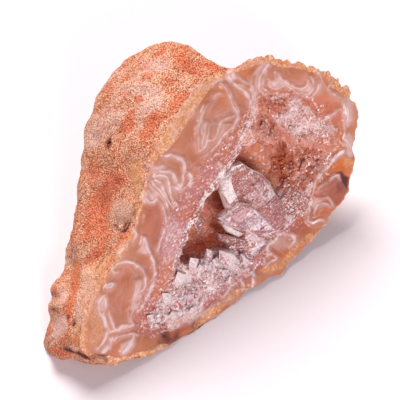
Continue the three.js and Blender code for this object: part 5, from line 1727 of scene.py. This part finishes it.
def agate_material():
    material, shader = new_material("banded_agate")
    place = shader.attribute("place", "Vector")
    crust = washed(shader, shader.group(QUARTZ, {"Place": place})[0])
    crust = shader.group(SUGAR, {"Place": place, "Colour": crust, "Strength": 0.4})["Colour"]
    depth = shader.attribute("depth")
    ragged = shader.wander(1.1, place, 0.8, 3)
    quartz = shader.step(shader.plus(depth, ragged), 0.9, 1.1)
    grain = shader.group(GRAIN, {"Place": place, "Scale": 2.6})
    strip = shader.step(shader.plus(depth, shader.times(ragged, 0.12)), 0.12, 0.03)
    sandy_edge = shader.plus(shader.attribute("sandy"), shader.times(ragged, 0.5))
    strip = shader.larger(strip, shader.step(sandy_edge, 0.35, 0.6))
    patchy = shader.step(shader.noise(place, 0.5, 3), 0.44, 0.56)
    sandy = shader.coats(SANDY_ORANGE, (patchy, SANDY_ROSE), (grain["Pale"], SAND_WHITE),
                         (shader.times(grain["Dark"], 0.75), RED_OCHRE))
    crusty = shader.times(shader.attribute("gold"), 0.6)
    colour = shader.coats(
        agate_colour(shader, place), (quartz, crust),
        (shader.times(crusty, grain["Pale"]), SAND_WHITE),
        (shader.times(crusty, grain["Dark"]), DARK_PORE), (strip, washed(shader, sandy, 0.6)))
    dull = shader.larger(strip, shader.attribute("dark"))
    gritty = shader.times(grain["Height"], shader.larger(strip, shader.times(quartz, 0.8)))
    relief = shader.times(shader.noise(place, 0.9, 3), 0.35)
    ridges = shader.times(shader.step(shader.attribute("edge"), 0.7, -0.1), 0.9)
    height = shader.plus(gritty, shader.plus(relief, ridges))
    shader.surface({"Base Color": colour, "Roughness": shader.plus(0.3, shader.times(dull, 0.45)),
                    "Normal": shader.bump(height, 0.3 * MM, 0.8)})
    return material


def bed_material():
    material, shader = new_material("sugary_quartz")
    place, warmth = shader.attribute("place", "Vector"), shader.attribute("amber")
    # creases get painted highlights
    creases = shader.step(shader.attribute("crease"), 0.09, 0.02)
    faces = shader.group(FACES, {
        "Place": place, "Colour": shader.group(QUARTZ, {"Place": place})[0],
        "Share": shader.attribute("glass"), "Creases": creases, "Scale": 1.7,
        "Warmth": warmth})[0]
    broken = shader.step(shader.noise(place, 2.2, 2), 0.4, 0.55, 0.5, 1)
    sugar = shader.group(SUGAR, {"Place": place, "Colour": washed(shader, faces, broken),
                                 "Strength": shader.minus(0.36, shader.times(warmth, 0.25))})
    shader.surface({"Base Color": sugar["Colour"], "Roughness": 0.2, "IOR": QUARTZ_IOR,
                    "Normal": shader.bump(sugar["Height"], 0.2 * MM, 0.8)} | MILKY)
    return material


def crystal_material(name, transmission, roughness, tint):
    material, shader = new_material(name)
    place = shader.attribute("place", "Vector")
    colour = shader.mix(tint, shader.group(QUARTZ, {"Place": place})[0], QUARTZ_LILAC)
    broken = shader.step(shader.noise(place, 2.6, 2), 0.42, 0.54, 0.15, 1)
    # edges: painted highlights along the crystal's edges
    edges = shader.step(shader.attribute("rim"), 0.8, 0.97)
    colour = shader.group(FACES, {
        "Place": place, "Colour": colour, "Share": shader.attribute("shade"), "Creases": edges,
        "Scale": 2.2, "Warmth": shader.attribute("amber")})[0]
    colour = washed(shader, colour, broken)
    # white dots of painted glint over the crystals
    glints = shader.group(GLINT, {"Place": place, "Scale": 1.7, "Share": 0.34})[0]
    colour = shader.mix(shader.times(glints, 0.8), colour, GLINT_WHITE)
    shader.surface({"Base Color": colour, "Roughness": roughness, "IOR": QUARTZ_IOR,
                    "Transmission Weight": transmission,
                    "Normal": shader.bump(shader.noise(place, 2.4, 3), 0.12 * MM, 0.6)} | MILKY)
    return material


def floor_material():
    material, shader = new_material("pale_floor")
    mottled = shader.noise(shader.add("TexCoord")["Object"], 900, 2)
    shader.surface({"Base Color": shader.mix(mottled, FLOOR_LIGHT, FLOOR_DARK), "Roughness": 0.9})
    return material


# ---------------------------------------------------------------- assembly
FLOOR_SIZE = 3  # m
FLOOR_GAP = 0.05 * MM

stone = stone_piece([rind_material(), agate_material()])
bed, bed_points, free_triangles = crust_piece([bed_material()])
druse = druse_crystals(bed_points, free_triangles, crystal_material(
    "druse_quartz", transmission=0, roughness=0.16, tint=0.1))
great = great_crystals(crystal_material(
    "clear_quartz", transmission=0.15, roughness=0.14, tint=0.35))

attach(stone, "root")
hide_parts("geode_shell")
for piece in (bed, druse, great):
    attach(piece, "root")
    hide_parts("crystal_crust")

bpy.ops.mesh.primitive_plane_add(size=FLOOR_SIZE, location=(0, 0, -FLOOR_GAP))
floor = bpy.context.object
floor.name = "floor"
floor.data.materials.append(floor_material())
